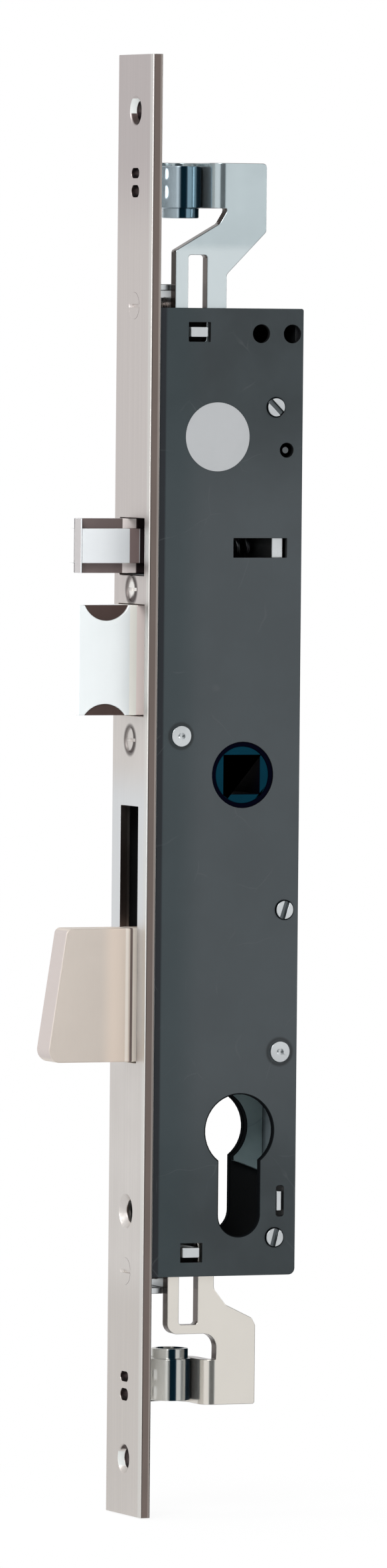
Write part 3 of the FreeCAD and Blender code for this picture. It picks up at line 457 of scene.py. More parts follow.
@dataclass(frozen=True)
class Finish:
    """A plain finish with soft patches, fine lines and bands; special finishes add their own marks."""

    name: str
    color: Color
    metallic: float = 1.0
    roughness: float = 0.35
    specular: float = 0.5
    dark_share: float = 0.82
    patch_mm: float = 14.0
    patch_gloss: float = 0.06
    line_stretch: Place = (1.0, 1.0, 0.03)
    lines_per_mm: float = 4.0
    line_depth: float = 0.006
    line_tone: float = 0.04
    bands: tuple[Band, ...] = ()

    def marks(self, surface: Surface, color: object) -> object:
        """Adds the finish's own marks to its colour.

        Args:
            surface: The material's bench.
            color: The colour so far.

        Returns:
            The colour with the marks.
        """
        return color

    def gloss(self, surface: Surface) -> object:
        """Returns how strongly the finish shines, which special finishes vary over the piece."""
        return self.specular

    def metal(self, surface: Surface) -> object:
        """Returns how metallic the finish is, which special finishes vary over the piece."""
        return self.metallic

    def banded(self, surface: Surface, color: object) -> object:
        """Lays the finish's bands over its colour.

        Args:
            surface: The material's bench.
            color: The colour so far.

        Returns:
            The colour with the bands.
        """
        for band in self.bands:
            stretch = surface.stretch(band.way, band.low_mm, band.high_mm, band.soft_mm)
            color = surface.blend(surface.all_of(stretch, band.share), color, band.color)
        return color

    def build(self, effects: SharedEffects) -> Material:
        """Makes the material.

        Args:
            effects: The shared groups.

        Returns:
            The finished material.
        """
        material = bpy.data.materials.new(self.name)
        surface = Surface(emptied(material), effects)
        tone = surface.use(effects.cloudy_tone, Vector=surface.place,
                           Patch_mm=self.patch_mm).outputs[0]
        line = surface.use(effects.drawn_lines, Vector=surface.place, Stretch=self.line_stretch,
                           Lines_per_mm=self.lines_per_mm).outputs[0]
        dark = tuple(channel * self.dark_share for channel in self.color)
        color = self.banded(surface, surface.blend(tone, dark, self.color))
        shade = surface.scaled(line, self.line_tone * 2, 1.0 - self.line_tone)
        gray = surface.add("ShaderNodeCombineColor", {0: shade, 1: shade, 2: shade})
        color = self.marks(surface, surface.blend(1.0, color, gray.outputs[0], "MULTIPLY"))
        bump = surface.add("ShaderNodeBump", {"Distance": self.line_depth * MM, "Height": line})
        rough = surface.scaled(tone, -self.patch_gloss, self.roughness + self.patch_gloss / 2)
        shader = surface.add("ShaderNodeBsdfPrincipled", {
            "Base Color": color, "Metallic": self.metal(surface), "Roughness": rough,
            "Specular IOR Level": self.gloss(surface), "Normal": bump.outputs["Normal"]})
        surface.add("ShaderNodeOutputMaterial", {"Surface": shader.outputs[0]})
        return material


@dataclass(frozen=True)
class ForendFinish(Finish):
    """Satin strip steel: painted edge highlight, darker sides, painted shade and highlights at holes.

    Each shade ring has its height, radius and width. Each shade has its height and radius, and how
    far its lit part lies across and up. The head with the painted highlight has its shift across, its
    height and its radius. Each bore has its lower end, its upper end and the depth where its painted
    shade starts.
    """

    side_color: Color = screen(134, 121, 115)
    side_line_color: Color = screen(170, 160, 154)
    edge_highlight_color: Color = screen(226, 226, 222)
    hole_shade_color: Color = screen(74, 64, 62)
    bore_shade_color: Color = screen(58, 48, 50)
    back_color: Color = screen(232, 230, 226)
    head_highlight_color: Color = screen(250, 248, 244)
    glint_color: Color = (0.62, 0.64, 0.63)
    half_width_mm: float = 11.0
    thickness_mm: float = 2.5
    past_mm: float = 1.0
    edge_mm: float = 1.5
    edge_soft_mm: float = 0.8
    edge_highlight_share: float = 0.5
    flank_least: float = 0.72
    side_line_mm: float = 0.65
    side_line_soft_mm: float = 0.12
    strip_plane: Place = (0.0, 1.0, 1.0)
    shade_rings_mm: tuple[Sizes, ...] = ((44.0, 3.3, 1.0), (8.1, 3.3, 1.0))
    shade_ring_share: float = 0.85
    shades_mm: tuple[Sizes, ...] = (
        (157.8, 3.7, 0.6, 2.6), (44.0, 3.4, 2.5, 0.6), (8.1, 3.4, 1.8, 0.3), (-163.5, 3.6, 1.5, -1.1))
    shade_rim: float = 0.05
    lit_rim: float = 0.08
    highlighted_head_mm: Sizes = (0.6, 44.2, 2.6)
    bright_rim: float = 0.5
    bores_mm: tuple[Sizes, ...] = (
        (154.6, 161.0, 1.3), (136.2, 144.6, 0.2), (-149.6, -141.0, 0.2), (-166.6, -160.4, 1.3))
    bore_half_width_mm: float = 5.0
    back_skin_mm: float = 0.1
    bore_share: float = 0.85
    glints_mm: tuple[Span, ...] = ((157.4, 160.6), (-165.3, -162.2))
    glint_depth_mm: Span = (0.06, 1.2)
    glint_across_mm: Span = (0.3, 3.7)
    glint_fade_mm: Span = (0.4, 0.3)

    def marks(self, surface: Surface, color: object) -> object:
        """Adds the painted edge highlight, sides, hole shade and highlights, and bright back. See
        Finish.marks.
        """
        # A painted highlight along the strip's near edge.
        edge = surface.stretch(Direction.NEAR, self.half_width_mm - self.edge_mm,
                               self.half_width_mm + self.past_mm, self.edge_soft_mm)
        color = surface.blend(surface.all_of(edge, self.edge_highlight_share), color, self.edge_highlight_color)
        # Each side gets a darker colour, with a painted highlight line along its back edge.
        for side in (Direction.NEAR, Direction.FAR):
            line = surface.stretch(Direction.INWARD, self.thickness_mm - self.side_line_mm,
                                   self.thickness_mm + self.past_mm, self.side_line_soft_mm)
            tone = surface.blend(line, self.side_color, self.side_line_color)
            color = surface.blend(surface.facing(side, self.flank_least), color, tone)
        color = self.bores(surface, self.heads(surface, color))
        # A painted highlight on the lit walls of the end sinks.
        color = surface.blend(self.glint(surface), color, self.glint_color)
        return surface.blend(surface.facing(Direction.INWARD), color, self.back_color)

    def heads(self, surface: Surface, color: object) -> object:
        """Adds painted shade rings round the screw heads, painted shade on their rims and one painted
        highlight.

        Args:
            surface: The material's bench.
            color: The colour so far.

        Returns:
            The colour with the heads' marks.
        """
        # Painted shade: rings round the screw heads and crescents in the holes.
        for height, radius, width in self.shade_rings_mm:
            ring = surface.ring((0.0, 0.0, height), radius, width, self.strip_plane)
            color = surface.blend(surface.all_of(ring, self.shade_ring_share), color, self.hole_shade_color)
        for height, radius, across, upwards in self.shades_mm:
            whole = surface.ring((0.0, 0.0, height), 0.0, radius, self.strip_plane)
            lit = surface.ring((0.0, across, height + upwards), 0.0, radius, self.strip_plane)
            shade = surface.math("SUBTRACT", surface.between(whole, 0.0, self.shade_rim),
                                 surface.between(lit, 0.0, self.lit_rim))
            color = surface.blend(surface.math("MAXIMUM", shade, 0.0), color, self.hole_shade_color)
        # A painted highlight on one screw head.
        across, height, radius = self.highlighted_head_mm
        head = surface.ring((0.0, across, height), 0.0, radius, self.strip_plane)
        return surface.blend(surface.between(head, 0.0, self.bright_rim), color, self.head_highlight_color)

    def bores(self, surface: Surface, color: object) -> object:
        """Paints shade on the walls of the end holes and of the access holes.

        Args:
            surface: The material's bench.
            color: The colour so far.

        Returns:
            The colour with painted shade on the walls.
        """
        half = self.bore_half_width_mm
        inner = surface.stretch(Direction.FAR, -half, half, SOFT_MM)
        for low, high, depth in self.bores_mm:
            deep = surface.stretch(Direction.INWARD, depth, self.thickness_mm - self.back_skin_mm,
                                   CRISP_MM)
            height = surface.stretch(Direction.UP, low, high, SOFT_MM)
            share = surface.all_of(deep, inner, height, self.bore_share)
            color = surface.blend(share, color, self.bore_shade_color)
        return color

    def metal(self, surface: Surface) -> object:
        """Leaves the strip's back and the sinks' painted highlights dull. See Finish.metal."""
        dull = surface.math("MAXIMUM", surface.facing(Direction.INWARD), self.glint(surface))
        return surface.math("SUBTRACT", 1.0, dull)

    def glint(self, surface: Surface) -> NodeSocket:
        """Masks the parts of the end sinks where a highlight is painted.

        Args:
            surface: The material's bench.

        Returns:
            The mask's socket.
        """
        fade_across, fade_up = self.glint_fade_mm
        deep = surface.stretch(Direction.INWARD, *self.glint_depth_mm, CRISP_MM)
        far = surface.stretch(Direction.FAR, *self.glint_across_mm, fade_across)
        both: object = 0.0
        for low, high in self.glints_mm:
            both = surface.math("ADD", both, surface.stretch(Direction.UP, low, high, fade_up))
        return surface.all_of(both, surface.all_of(deep, far))


@dataclass(frozen=True)
class PlateFinish(Finish):
    """Plated plate with dark cut faces and bright eyes, warmer towards the lock's lower end."""

    cut_color: Color = screen(92, 82, 78)
    low_color: Color = screen(230, 225, 217)
    low_reach_mm: Span = (-400.0, -112.0)
    low_fade_mm: float = 2.0
    eye_across_mm: Span = (-10.0, 20.25)
    eye_heights_mm: tuple[Span, ...] = ((134.9, 145.5), (-150.4, -139.8))

    def marks(self, surface: Surface, color: object) -> object:
        """Darkens the cut faces outside the eyes and warms the lower end. See Finish.marks."""
        low = surface.stretch(Direction.UP, *self.low_reach_mm, self.low_fade_mm)
        color = surface.blend(low, color, self.low_color)
        share: object = surface.cut()
        left = surface.stretch(Direction.INWARD, *self.eye_across_mm, CRISP_MM)
        for bottom, top in self.eye_heights_mm:
            eye = surface.all_of(left, surface.stretch(Direction.UP, bottom, top, SHARP_MM))
            share = surface.all_of(share, surface.math("SUBTRACT", 1.0, eye))
        return surface.blend(share, color, self.cut_color)


@dataclass(frozen=True)
class TippedFinish(Finish):
    """A smooth bolt whose end face, towards the door frame, has a tone of its own."""

    tip_color: Color = screen(250, 251, 252)

    def marks(self, surface: Surface, color: object) -> object:
        """Tones the faces that meet the strike. See Finish.marks."""
        return surface.blend(surface.facing(Direction.FRONT), color, self.tip_color)


@dataclass(frozen=True)
class HeadFinish(Finish):
    """Bright heads with painted shade on their slots, dimples and rims."""

    recess_shade_color: Color = screen(98, 104, 107)
    floor_mm: Span = (-9.93, -5.0)
    face_least: float = 0.62

    def marks(self, surface: Surface, color: object) -> object:
        """Paints shade on what doesn't face the cover's side, and on the slots' floors. See
        Finish.marks.
        """
        face = surface.facing(Direction.NEAR, self.face_least)
        floor = surface.stretch(Direction.FAR, *self.floor_mm, CRISP_MM)
        return surface.blend(surface.math("SUBTRACT", face, floor), self.recess_shade_color, color)


@dataclass(frozen=True)
class SpindleFinish(Finish):
    """A cast hub with near-black painted shade inside its square hole."""

    hole_shade_color: Color = (0.0003, 0.0004, 0.0035)
    hole_across_mm: Span = (20.35, 29.65)
    hole_height_mm: Span = (-4.65, 4.65)

    def marks(self, surface: Surface, color: object) -> object:
        """Paints near-black shade on the square hole's walls. See Finish.marks."""
        across = surface.stretch(Direction.INWARD, *self.hole_across_mm, CRISP_MM)
        upright = surface.stretch(Direction.UP, *self.hole_height_mm, CRISP_MM)
        return surface.blend(surface.all_of(across, upright), color, self.hole_shade_color)


@dataclass(frozen=True)
class CaseFinish(Finish):
    """Dark passivated sheet with scuffs and painted shade rings round its rivets; painted shade
    blackens its inside and cut-out, with a painted lit patch inside.

    Each shade ring has its place along X and Z, its radius and its width. The cut-out has its barrel's
    place and radius, and the slot half its width and the place of its foot.
    """

    rivet_shade_color: Color = (0.012, 0.014, 0.015)
    rub_color: Color = (0.10, 0.11, 0.115)
    inside_shade_color: Color = (0.006, 0.007, 0.008)
    lit_color: Color = screen(122, 135, 141)
    shade_ring_share: float = 0.7
    scuff_cell_mm: float = 17.0
    scuff_share: float = 0.25
    shade_rings_mm: tuple[Sizes, ...] = ()
    hollow: bool = True
    inside_mm: tuple[tuple[Direction, float, float], ...] = (
        (Direction.INWARD, -5.0, 39.5), (Direction.FAR, -8.55, 8.55), (Direction.UP, -118.2, 109.7))
    windows_mm: tuple[tuple[Direction, float, float], ...] = (
        (Direction.INWARD, 3.2, 39.5), (Direction.UP, -117.6, 109.1))
    lit_across_mm: Span = (38.12, 90.0)
    lit_height_mm: Span = (-97.0, -74.0)
    cutout_mm: Sizes = (25.0, -85.0, 9.05)
    slot_mm: Sizes = (5.55, -104.9)
    cutout_margin_mm: float = 0.05
    cutout_rim: float = 0.0001

    def marks(self, surface: Surface, color: object) -> object:
        """Adds painted shade rings, scuffs, painted shade inside and a painted lit patch. See
        Finish.marks.
        """
        for x, z, radius, width in self.shade_rings_mm:
            share = surface.all_of(surface.ring((x, 0.0, z), radius, width), self.shade_ring_share)
            color = surface.blend(share, color, self.rivet_shade_color)
        scuff = surface.use(surface.effects.scuffs, Vector=surface.place,
                            Cell_mm=self.scuff_cell_mm).outputs[0]
        color = surface.blend(surface.all_of(scuff, self.scuff_share), color, self.rub_color)
        color = surface.blend(self.cut_out(surface), color, self.inside_shade_color)
        if not self.hollow:
            return color
        # Painted shade on the windows' cut faces and over the inside of the case.
        windows = (surface.stretch(*window, SHARP_MM) for window in self.windows_mm)
        color = surface.blend(surface.all_of(surface.cut(), *windows), color, self.inside_shade_color)
        inside = surface.all_of(*(surface.stretch(*reach, SHARP_MM) for reach in self.inside_mm))
        # A painted lit patch inside, lighter than the painted shade round it.
        right_part = surface.stretch(Direction.INWARD, *self.lit_across_mm, CRISP_MM)
        pocket = surface.stretch(Direction.UP, *self.lit_height_mm, SOFT_MM)
        lit = surface.all_of(right_part, pocket)
        depth = surface.blend(lit, self.inside_shade_color, self.lit_color)
        return surface.blend(inside, color, depth)

    def gloss(self, surface: Surface) -> object:
        """Keeps the cut-out's walls dull. See Finish.gloss."""
        return surface.all_of(surface.math("SUBTRACT", 1.0, self.cut_out(surface)), self.specular)

    def cut_out(self, surface: Surface) -> NodeSocket:
        """Masks the walls of the cylinder's cut-out, which get painted shade.

        Args:
            surface: The material's bench.

        Returns:
            The mask's socket.
        """
        x, z, radius = self.cutout_mm
        half, low = self.slot_mm
        barrel = surface.ring((x, 0.0, z), 0.0, radius + self.cutout_margin_mm)
        foot = surface.ring((x, 0.0, low), 0.0, half + self.cutout_margin_mm)
        slot = surface.all_of(surface.stretch(Direction.INWARD, x - half, x + half, SHARP_MM),
                              surface.stretch(Direction.UP, low, z, SHARP_MM))
        end = surface.between(foot, 0.0, self.cutout_rim)
        return surface.math("MAXIMUM", surface.between(barrel, 0.0, self.cutout_rim),
                            surface.math("MAXIMUM", slot, end))


@dataclass(frozen=True)
class Thread:
    """A screw thread: its bore's or shank's radius, the rise of a turn, and half its ridge's height."""

    radius_mm: float
    pitch_mm: float
    ridge_mm: float


@dataclass
class ThreadRidge:
    """The ridge of a screw thread, wound by a node tree round a bore or a shank."""

    thread: Thread
    material: Material
    points_per_turn: int = 24
    ridge_corners: int = 4

    def __post_init__(self) -> None:
        """Builds the tree that every thread uses."""
        tree = bpy.data.node_groups.new("thread ridge", "GeometryNodeTree")
        tree.interface.new_socket("Geometry", in_out="OUTPUT", socket_type="NodeSocketGeometry")
        self.sockets: dict[str, str] = {}
        for label in ("Radius", "Turns", "Length", "Ridge"):
            socket = tree.interface.new_socket(label, in_out="INPUT", socket_type="NodeSocketFloat")
            self.sockets[label] = socket.identifier
        bench = Bench(tree)
        sizes = bench.add("NodeGroupInput").outputs
        spiral = bench.add("GeometryNodeCurveSpiral", {
            "Resolution": self.points_per_turn, "Rotations": sizes["Turns"],
            "Start Radius": sizes["Radius"], "End Radius": sizes["Radius"],
            "Height": sizes["Length"]})
        section = bench.add("GeometryNodeCurvePrimitiveCircle",
                            {"Resolution": self.ridge_corners, "Radius": sizes["Ridge"]})
        ridge = bench.add("GeometryNodeCurveToMesh", {
            "Curve": spiral.outputs["Curve"], "Profile Curve": section.outputs["Curve"],
            "Fill Caps": True})
        real = bench.add("GeometryNodeRealizeInstances", {"Geometry": ridge.outputs["Mesh"]})
        painted = bench.add("GeometryNodeSetMaterial", {"Geometry": real.outputs["Geometry"],
                                                        "Material": self.material})
        bench.add("NodeGroupOutput", {"Geometry": painted.outputs["Geometry"]})
        self.tree = tree

    def build(self, name: str, body: str, slot: str, start_mm: Place, way: Direction,
              length_mm: float) -> None:
        """Winds one thread.

        Args:
            name: The piece's name.
            body: The body that it rides on.
            slot: The record's slot for its finish; not used.
            start_mm: Where the thread starts, on its axis.
            way: The direction of its axis.
            length_mm: The thread's length.
        """
        piece = add_object(name, bpy.data.meshes.new(name))
        winding = piece.modifiers.new("winding", "NODES")
        winding.node_group = self.tree
        values = {"Radius": self.thread.radius_mm * MM, "Turns": length_mm / self.thread.pitch_mm,
                  "Length": length_mm * MM, "Ridge": self.thread.ridge_mm * MM}
        for label, value in values.items():
            winding[self.sockets[label]] = value
        finished = settle(piece, name)
        turn = Vector(way.value).to_track_quat("Z", "Y").to_matrix().to_4x4()
        finished.transform(Matrix.Translation(Vector(start_mm) * MM) @ turn)
        shape = bmesh.new()
        shape.from_mesh(finished)
        bmesh.ops.recalc_face_normals(shape, faces=shape.faces)
        shape.to_mesh(finished)
        shape.free()
        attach(piece, body)
        log.info("%s: %d faces on %s", piece.name, len(finished.polygons), body)


@dataclass
class RoundedNode:
    """A CAD node's shape with its sharp edges broken, as tumbling and plating leave them."""

    node: str
    body: str
    slot: str
    material: Material
    round_mm: float = 0.15
    segments: int = 2
    sharp_degrees: float = 32.0
    flat_degrees: float = 0.6
    weld_mm: float = 0.002

    def build(self, source: Object) -> None:
        """Makes the rounded copy, which stands for the node.

        Args:
            source: The CAD node's object.
        """
        mesh = source.data.copy()
        mesh.name = self.node + "_rounded"
        mesh.materials.clear()
        mesh.materials.append(self.material)
        shape = bmesh.new()
        shape.from_mesh(mesh)
        bmesh.ops.remove_doubles(shape, verts=shape.verts, dist=self.weld_mm * MM)
        bmesh.ops.dissolve_limit(shape, angle_limit=math.radians(self.flat_degrees),
                                 verts=shape.verts, edges=shape.edges)
        for face in shape.faces:
            face.smooth = True
            face.material_index = 0
        shape.to_mesh(mesh)
        shape.free()
        piece = add_object(mesh.name, mesh)
        rounding = piece.modifiers.new("rounding", "BEVEL")
        rounding.width = self.round_mm * MM
        rounding.segments = self.segments
        rounding.limit_method = "ANGLE"
        rounding.angle_limit = math.radians(self.sharp_degrees)
        rounding.use_clamp_overlap = False
        rounding.face_strength_mode = "FSTR_AFFECTED"
        shading = piece.modifiers.new("shading", "WEIGHTED_NORMAL")
        shading.weight = 100
        shading.use_face_influence = True
        finished = settle(piece, mesh.name)
        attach(piece, self.body)
        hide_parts(self.node)
        log.info("%s: %d faces on %s", piece.name, len(finished.polygons), self.body)


@dataclass
class LockDressing:
    """Gives every node of the lock its finish."""

    frame: dict
    effects: SharedEffects
    finishes: dict[str, Material] = field(default_factory=dict)
    rivet_shade_rings_mm: tuple[Sizes, ...] = ((35.2, -66.2, 3.1, 0.7), (9.0, 9.3, 3.0, 0.6))
    case_color: Color = (0.035, 0.046, 0.051)
    rounding_mm: dict[float, str] = field(default_factory=lambda: {
        0.04: "round_label", 0.08: "locating_pin latch_pads",
        0.1: "trigger_rails cover_tab follower_bush_near follower_bush_far",
        0.12: "forend cover_screws guide_rivet case_rivet",
        0.15: "case_cover case_tray trigger follower upper_guide_block lower_guide_block "
              "trigger_guide cylinder_support",
        0.18: "upper_slider lower_slider", 0.2: "upper_end_bracket lower_end_bracket key_dogs",
        0.25: "latch_head upper_rod_bush lower_rod_bush", 0.4: "deadbolt"})
    own_finish: dict[str, str] = field(default_factory=lambda: {
        "cylinder_support": "support_steel_painted_lit", "upper_rod_bush": "bush_zinc",
        "lower_rod_bush": "bush_zinc", "trigger": "trigger_nickel", "trigger_rails": "rail_brown",
        "cover_screws": "cover_heads", "guide_rivet": "cover_heads", "case_rivet": "cover_heads",
        "locating_pin": "inner_steel"})

    def mix(self) -> None:
        """Makes a material for each slot of the record, and for the nodes that have their own."""
        up = Direction.UP
        smooth = {"metallic": 0.1, "roughness": 0.4, "line_tone": 0.01, "line_depth": 0.001,
                  "dark_share": 0.98}
        coated = {"metallic": 0.0, "roughness": 0.5, "line_tone": 0.03, "line_depth": 0.002}
        dull = {"metallic": 0.0, "roughness": 0.6, "specular": 0.2}
        # Painted shade deep inside the forend's opening and the case.
        deep_shade_band = Band(screen(38, 28, 30), 2.7, 9.0)
        recipes = (
            ForendFinish("forend_steel", screen(218, 213, 209), roughness=0.36, line_depth=0.003,
                         line_stretch=(1.0, 1.0, 0.01), lines_per_mm=1.6, line_tone=0.09,
                         dark_share=0.95, patch_mm=22.0,
                         bands=(Band(screen(205, 198, 195), 40.0, 400.0, up, 40.0),
                                Band(screen(190, 182, 181), 148.0, 400.0, up, 25.0),
                                Band(screen(222, 226, 229), -60.0, -8.0, up, 12.0, 0.8),
                                Band(screen(205, 199, 194), -400.0, -128.0, up, 14.0, 0.9))),
            # The case's bands: lighter at middle heights, and painted shadow along its edge next to the
            # forend.
            CaseFinish("case_steel", self.case_color, **coated, specular=0.45,
                       shade_rings_mm=self.rivet_shade_rings_mm,
                       bands=(Band(screen(78, 84, 88), -70.0, 60.0, up, 30.0, 0.5),
                              Band(screen(44, 58, 62), -5.0, 7.0, soft_mm=9.0, share=0.6),
                              Band(screen(18, 22, 30), -5.0, 4.1, soft_mm=0.6, share=0.9))),
            # Painted light: the cylinder support gets a much lighter copy of the case finish.
            CaseFinish("support_steel_painted_lit", screen(136, 156, 159), **coated, specular=0.4, hollow=False),
            PlateFinish("zinc_plate", screen(200, 213, 217), metallic=0.85, roughness=0.18,
                        line_depth=0.002, line_tone=0.02, dark_share=0.94,
                        bands=(Band(screen(216, 226, 229), 60.0, 124.0, up, 3.0),)),
            # The bush's bands are painted reflections: light and dark stripes across it, warmer on the
            # lower bush.
            Finish("bush_zinc", screen(120, 152, 168), metallic=0.6, roughness=0.14,
                   line_depth=0.001, line_tone=0.01, dark_share=0.96,
                   bands=(Band(screen(186, 202, 212), -5.0, 9.4, soft_mm=0.6),
                          Band(screen(236, 224, 208), -200.0, -100.0, up, 2.0, 0.55),
                          Band(screen(16, 46, 60), 10.0, 11.2, soft_mm=0.45),
                          Band(screen(16, 42, 56), 14.1, 30.0, soft_mm=0.5))),
            # Painted light on the latch: a highlight line at the forend's front, a lighter pink inside
            # its opening.
            TippedFinish("latch_nickel", screen(244, 249, 250), **smooth,
                         tip_color=screen(240, 240, 240),
                         bands=(Band(screen(255, 254, 246), -1.6, 0.2),
                                Band(screen(252, 238, 233), 0.2, 9.0))),
            # Painted shade on the trigger inside the forend's opening and, deeper in, in the case.
            TippedFinish("trigger_nickel", screen(242, 246, 249), **smooth,
                         tip_color=screen(178, 174, 174),
                         bands=(Band(screen(136, 119, 117), 0.1, 2.4), deep_shade_band)),
            # The bolt's bands: painted light near the forend, two painted highlight lines, and a
            # painted shadow line.
            TippedFinish("bolt_steel", screen(212, 201, 191), metallic=0.3, roughness=0.42,
                         line_tone=0.02, dark_share=0.97, line_depth=0.002,
                         tip_color=screen(192, 182, 178),
                         bands=(Band(screen(226, 210, 196), -5.0, 40.0, soft_mm=4.0),
                                Band(screen(255, 246, 236), -2.1, -1.6, soft_mm=0.3, share=0.8),
                                Band(screen(255, 246, 234), -0.4, 0.8, soft_mm=0.2),
                                Band(screen(118, 102, 97), -0.95, -0.55, soft_mm=0.25))),
            Finish("screw_zinc", screen(226, 230, 232), roughness=0.3, dark_share=0.92),
            HeadFinish("cover_heads", screen(226, 230, 232), roughness=0.3, dark_share=0.9),
            Finish("bush_black", (0.0008, 0.001, 0.006), metallic=0.0, roughness=0.8,
                   specular=0.02),
            SpindleFinish("follower_zinc", screen(1, 48, 64), metallic=0.0, roughness=0.6,
                          specular=0.04),
            Finish("insert_brown", screen(78, 62, 58), **dull),
            Finish("rail_brown", screen(118, 105, 103), **dull,
                   bands=(Band(screen(242, 233, 230), -1.0, 2.3), deep_shade_band)),
            Finish("spring_steel", screen(150, 152, 155), roughness=0.3),
            Finish("inner_steel", screen(120, 124, 126), roughness=0.4),
            Finish("label_grey", screen(181, 183, 185), **dull, dark_share=0.96, line_tone=0.01),
        )
        for recipe in recipes:
            self.finishes[recipe.name] = recipe.build(self.effects)

    def apply(self) -> None:
        """Puts each node's material on it, and rounds the edges of those that show."""
        record = self.frame["record"]
        slots = {part["node"]: part["material_slot"] for part in record["subparts"]}
        owner = {node: body for body, nodes in record["behaviour"]["bodies"].items()
                 for node in nodes}
        radii = {node: radius for radius, nodes in self.rounding_mm.items()
                 for node in nodes.split()}
        for name, thing in self.frame["nodes"].items():
            material = self.finishes[self.own_finish.get(name, slots[name])]
            thing.data.materials.clear()
            thing.data.materials.append(material)
            for face in thing.data.polygons:
                face.material_index = 0
            if name in radii:
                RoundedNode(name, owner[name], slots[name], material, radii[name]).build(thing)


@dataclass
class ThreadedParts:
    """The threads of the rod bushes and of the forend's screws."""

    finishes: dict[str, Material]
    bush: Thread = Thread(3.4, 1.25, 0.28)
    screw: Thread = Thread(1.9, 0.7, 0.2)
    bush_margin_mm: float = 0.8
    screw_start_mm: float = 2.7
    screw_heights_mm: tuple[float, ...] = (111.5, 44.0, 8.1, -118.7)
    short_screw: int = 3

    def build(self) -> None:
        """Winds every thread that the lock's pieces have; one screw is half as long as the others."""
        bushes = ThreadRidge(self.bush, self.finishes["zinc_plate"])
        for name, body in (("upper_rod_bush", "upper_slider"), ("lower_rod_bush", "lower_slider")):
            low, high = (Vector(corner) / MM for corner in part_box(name))
            middle = (low + high) / 2
            start = (middle.x, middle.y, low.z + self.bush_margin_mm)
            length = high.z - low.z - 2 * self.bush_margin_mm
            bushes.build(name + "_thread", body, "zinc_plate", start, Direction.UP, length)
        screws = ThreadRidge(self.screw, self.finishes["forend_steel"])
        _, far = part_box("forend_screws")
        length = far[0] / MM - self.screw_start_mm - self.screw.pitch_mm
        for number, height in enumerate(self.screw_heights_mm, 1):
            reach = length / 2 if number == self.short_screw else length
            screws.build(f"forend_screw_{number}_thread", "case", "forend_steel",
                         (self.screw_start_mm, 0.0, height), Direction.INWARD, reach)


@dataclass(frozen=True)
class Lamp:
    """A soft square lamp: its place and side in metres, and its power in watts."""

    name: str
    place: Place
    size: float
    power: float


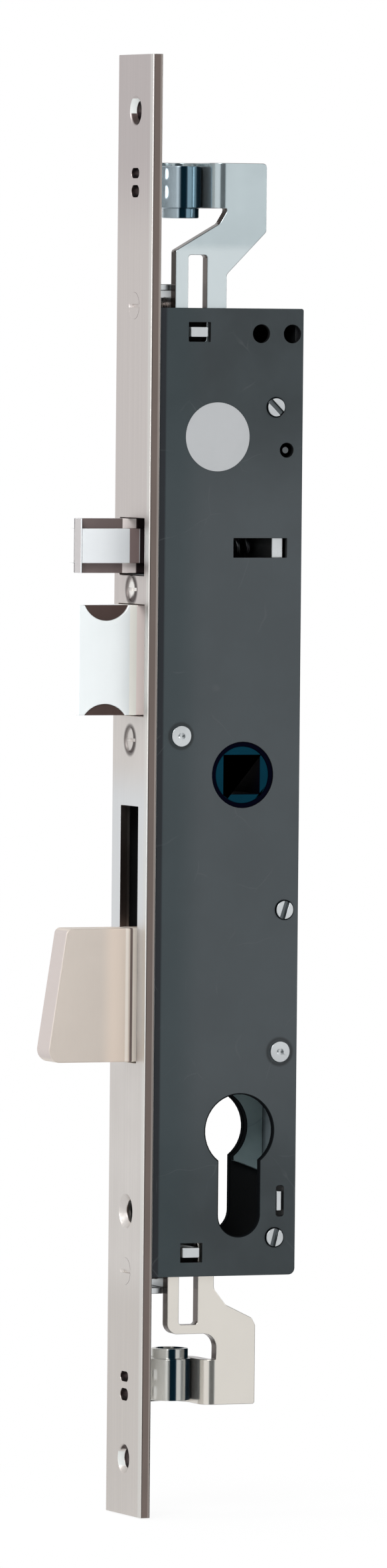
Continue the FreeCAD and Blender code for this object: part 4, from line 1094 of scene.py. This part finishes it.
@dataclass
class Studio:
    """A pale floor and backdrop with soft light, and the camera at the photograph's place.

    Each dark band of the room has the bearing of its middle and half its width, in degrees, and the
    share of light that is left in it.
    """

    floor_drop_mm: float = 0.3
    floor_size: float = 6.0
    floor_color: Color = (0.86, 0.86, 0.86)
    floor_glow: float = 0.25
    shadow_reach: Span = (0.04, 0.22)
    aim_mm: Place = (16.49, 0.0, -2.50)
    azimuth: float = -22.606
    elevation: float = 2.17
    distance: float = 3.026
    lens: float = 290.97
    roll: float = 0.5393
    sensor_mm: float = 36.0
    sight: float = 50.0
    world_light: float = 0.85
    dark_color: Color = (0.22, 0.55, 0.70)
    dark_bands: tuple[Sizes, ...] = ((-101.0, 18.0, 0.03), (-2.0, 42.0, 0.04))
    dark_fade: float = 6.0
    lamps: tuple[Lamp, ...] = (
        Lamp("key_lamp", (-0.9, -1.3, 1.1), 0.9, 16.0),
        Lamp("side_lamp", (-1.6, 0.3, 0.5), 0.8, 8.0),
        Lamp("fill_lamp", (1.3, -0.7, 0.4), 0.6, 3.5))

    def floor(self) -> None:
        """Makes the floor, which fades to the backdrop's white round the lock's shadow."""
        low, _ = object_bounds()
        mesh = bpy.data.meshes.new("floor")
        half = self.floor_size / 2
        height = low[2] - self.floor_drop_mm * MM
        mesh.from_pydata([(-half, -half, height), (half, -half, height), (half, half, height),
                          (-half, half, height)], [], [(0, 1, 2, 3)])
        plane = add_object("floor", mesh)
        material = bpy.data.materials.new("pale_floor")
        bench = Bench(emptied(material))
        paint = bench.add("ShaderNodeBsdfDiffuse", {"Color": self.floor_color})
        glow = bench.add("ShaderNodeEmission", {"Strength": self.floor_glow})
        white = bench.add("ShaderNodeEmission", {"Strength": 1.0})
        near = bench.add("ShaderNodeAddShader", {0: paint.outputs[0], 1: glow.outputs[0]})
        reach = bench.vector("LENGTH", bench.add("ShaderNodeTexCoord").outputs["Object"])
        path = bench.add("ShaderNodeLightPath").outputs
        beyond = bench.between(reach.outputs["Value"], *self.shadow_reach)
        seen = bench.mix_shaders(bench.all_of(path["Is Camera Ray"], beyond), near, white)
        clear = bench.add("ShaderNodeBsdfTransparent")
        mirrored = bench.mix_shaders(bench.all_of(path["Is Glossy Ray"], beyond), seen, clear)
        bench.add("ShaderNodeOutputMaterial", {"Surface": mirrored.outputs[0]})
        mesh.materials.append(material)
        plane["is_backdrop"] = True

    def world(self) -> None:
        """Lights the room, with dark bands that curved metal shows, and a white backdrop."""
        world = bpy.data.worlds.new("studio")
        bpy.context.scene.world = world
        bench = Bench(emptied(world))
        compass = bench.add("ShaderNodeTexCoord").outputs["Generated"]
        way = bench.add("ShaderNodeSeparateXYZ", {0: compass}).outputs
        turn = bench.math("DEGREES", bench.math("ARCTAN2", way["Y"], way["X"]))
        light: object = 1.0
        for middle, half, left in self.dark_bands:
            off = bench.math("ABSOLUTE", bench.math("SUBTRACT", turn, middle))
            lit = bench.scaled(bench.between(off, half, half + self.dark_fade), 1.0 - left, left)
            light = bench.all_of(light, lit)
        room = bench.add("ShaderNodeBackground", {
            "Color": bench.blend(light, self.dark_color, WHITE),
            "Strength": bench.all_of(light, self.world_light)})
        white = bench.add("ShaderNodeBackground", {"Color": WHITE, "Strength": 1.0})
        path = bench.add("ShaderNodeLightPath").outputs
        seen = bench.mix_shaders(path["Is Camera Ray"], room, white)
        bench.add("ShaderNodeOutputWorld", {"Surface": seen.outputs[0]})

    def hang(self, lamp: Lamp) -> None:
        """Adds a lamp that looks at the lock's middle.

        Args:
            lamp: The lamp to add.
        """
        light = bpy.data.lights.new(lamp.name, "AREA")
        light.size = lamp.size
        light.energy = lamp.power
        place = Vector(lamp.place)
        thing = add_object(lamp.name, light)
        thing.location = place
        thing.rotation_euler = (-place).to_track_quat("-Z", "Y").to_euler()

    def camera(self) -> None:
        """Puts the camera where the photograph was taken from."""
        turn = math.radians(self.azimuth)
        rise = math.radians(self.elevation)
        back = Vector((math.sin(turn) * math.cos(rise), -math.cos(turn) * math.cos(rise),
                       math.sin(rise)))
        aim = Vector(self.aim_mm) * MM
        data = bpy.data.cameras.new("camera")
        data.lens = self.lens
        data.sensor_width = self.sensor_mm
        data.clip_end = self.sight
        thing = add_object("camera", data)
        facing = back.to_track_quat("Z", "Y").to_matrix().to_4x4()
        thing.matrix_world = (Matrix.Translation(aim + back * self.distance) @ facing
                              @ Matrix.Rotation(math.radians(self.roll), 4, "Z"))
        bpy.context.scene.camera = thing

    def build(self) -> None:
        """Sets up the floor, the world, the lamps and the camera."""
        self.floor()
        self.world()
        for lamp in self.lamps:
            self.hang(lamp)
        self.camera()
        bpy.context.scene.view_settings.view_transform = "Standard"


def main() -> None:
    """Builds the dressed lock and its studio."""
    logging.basicConfig(level=logging.INFO, format="%(name)s: %(message)s")
    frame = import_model()
    effects = SharedEffects()
    dressing = LockDressing(frame, effects)
    dressing.mix()
    dressing.apply()
    ThreadedParts(dressing.finishes).build()
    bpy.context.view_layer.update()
    Studio().build()


if __name__ == "__main__":
    main()
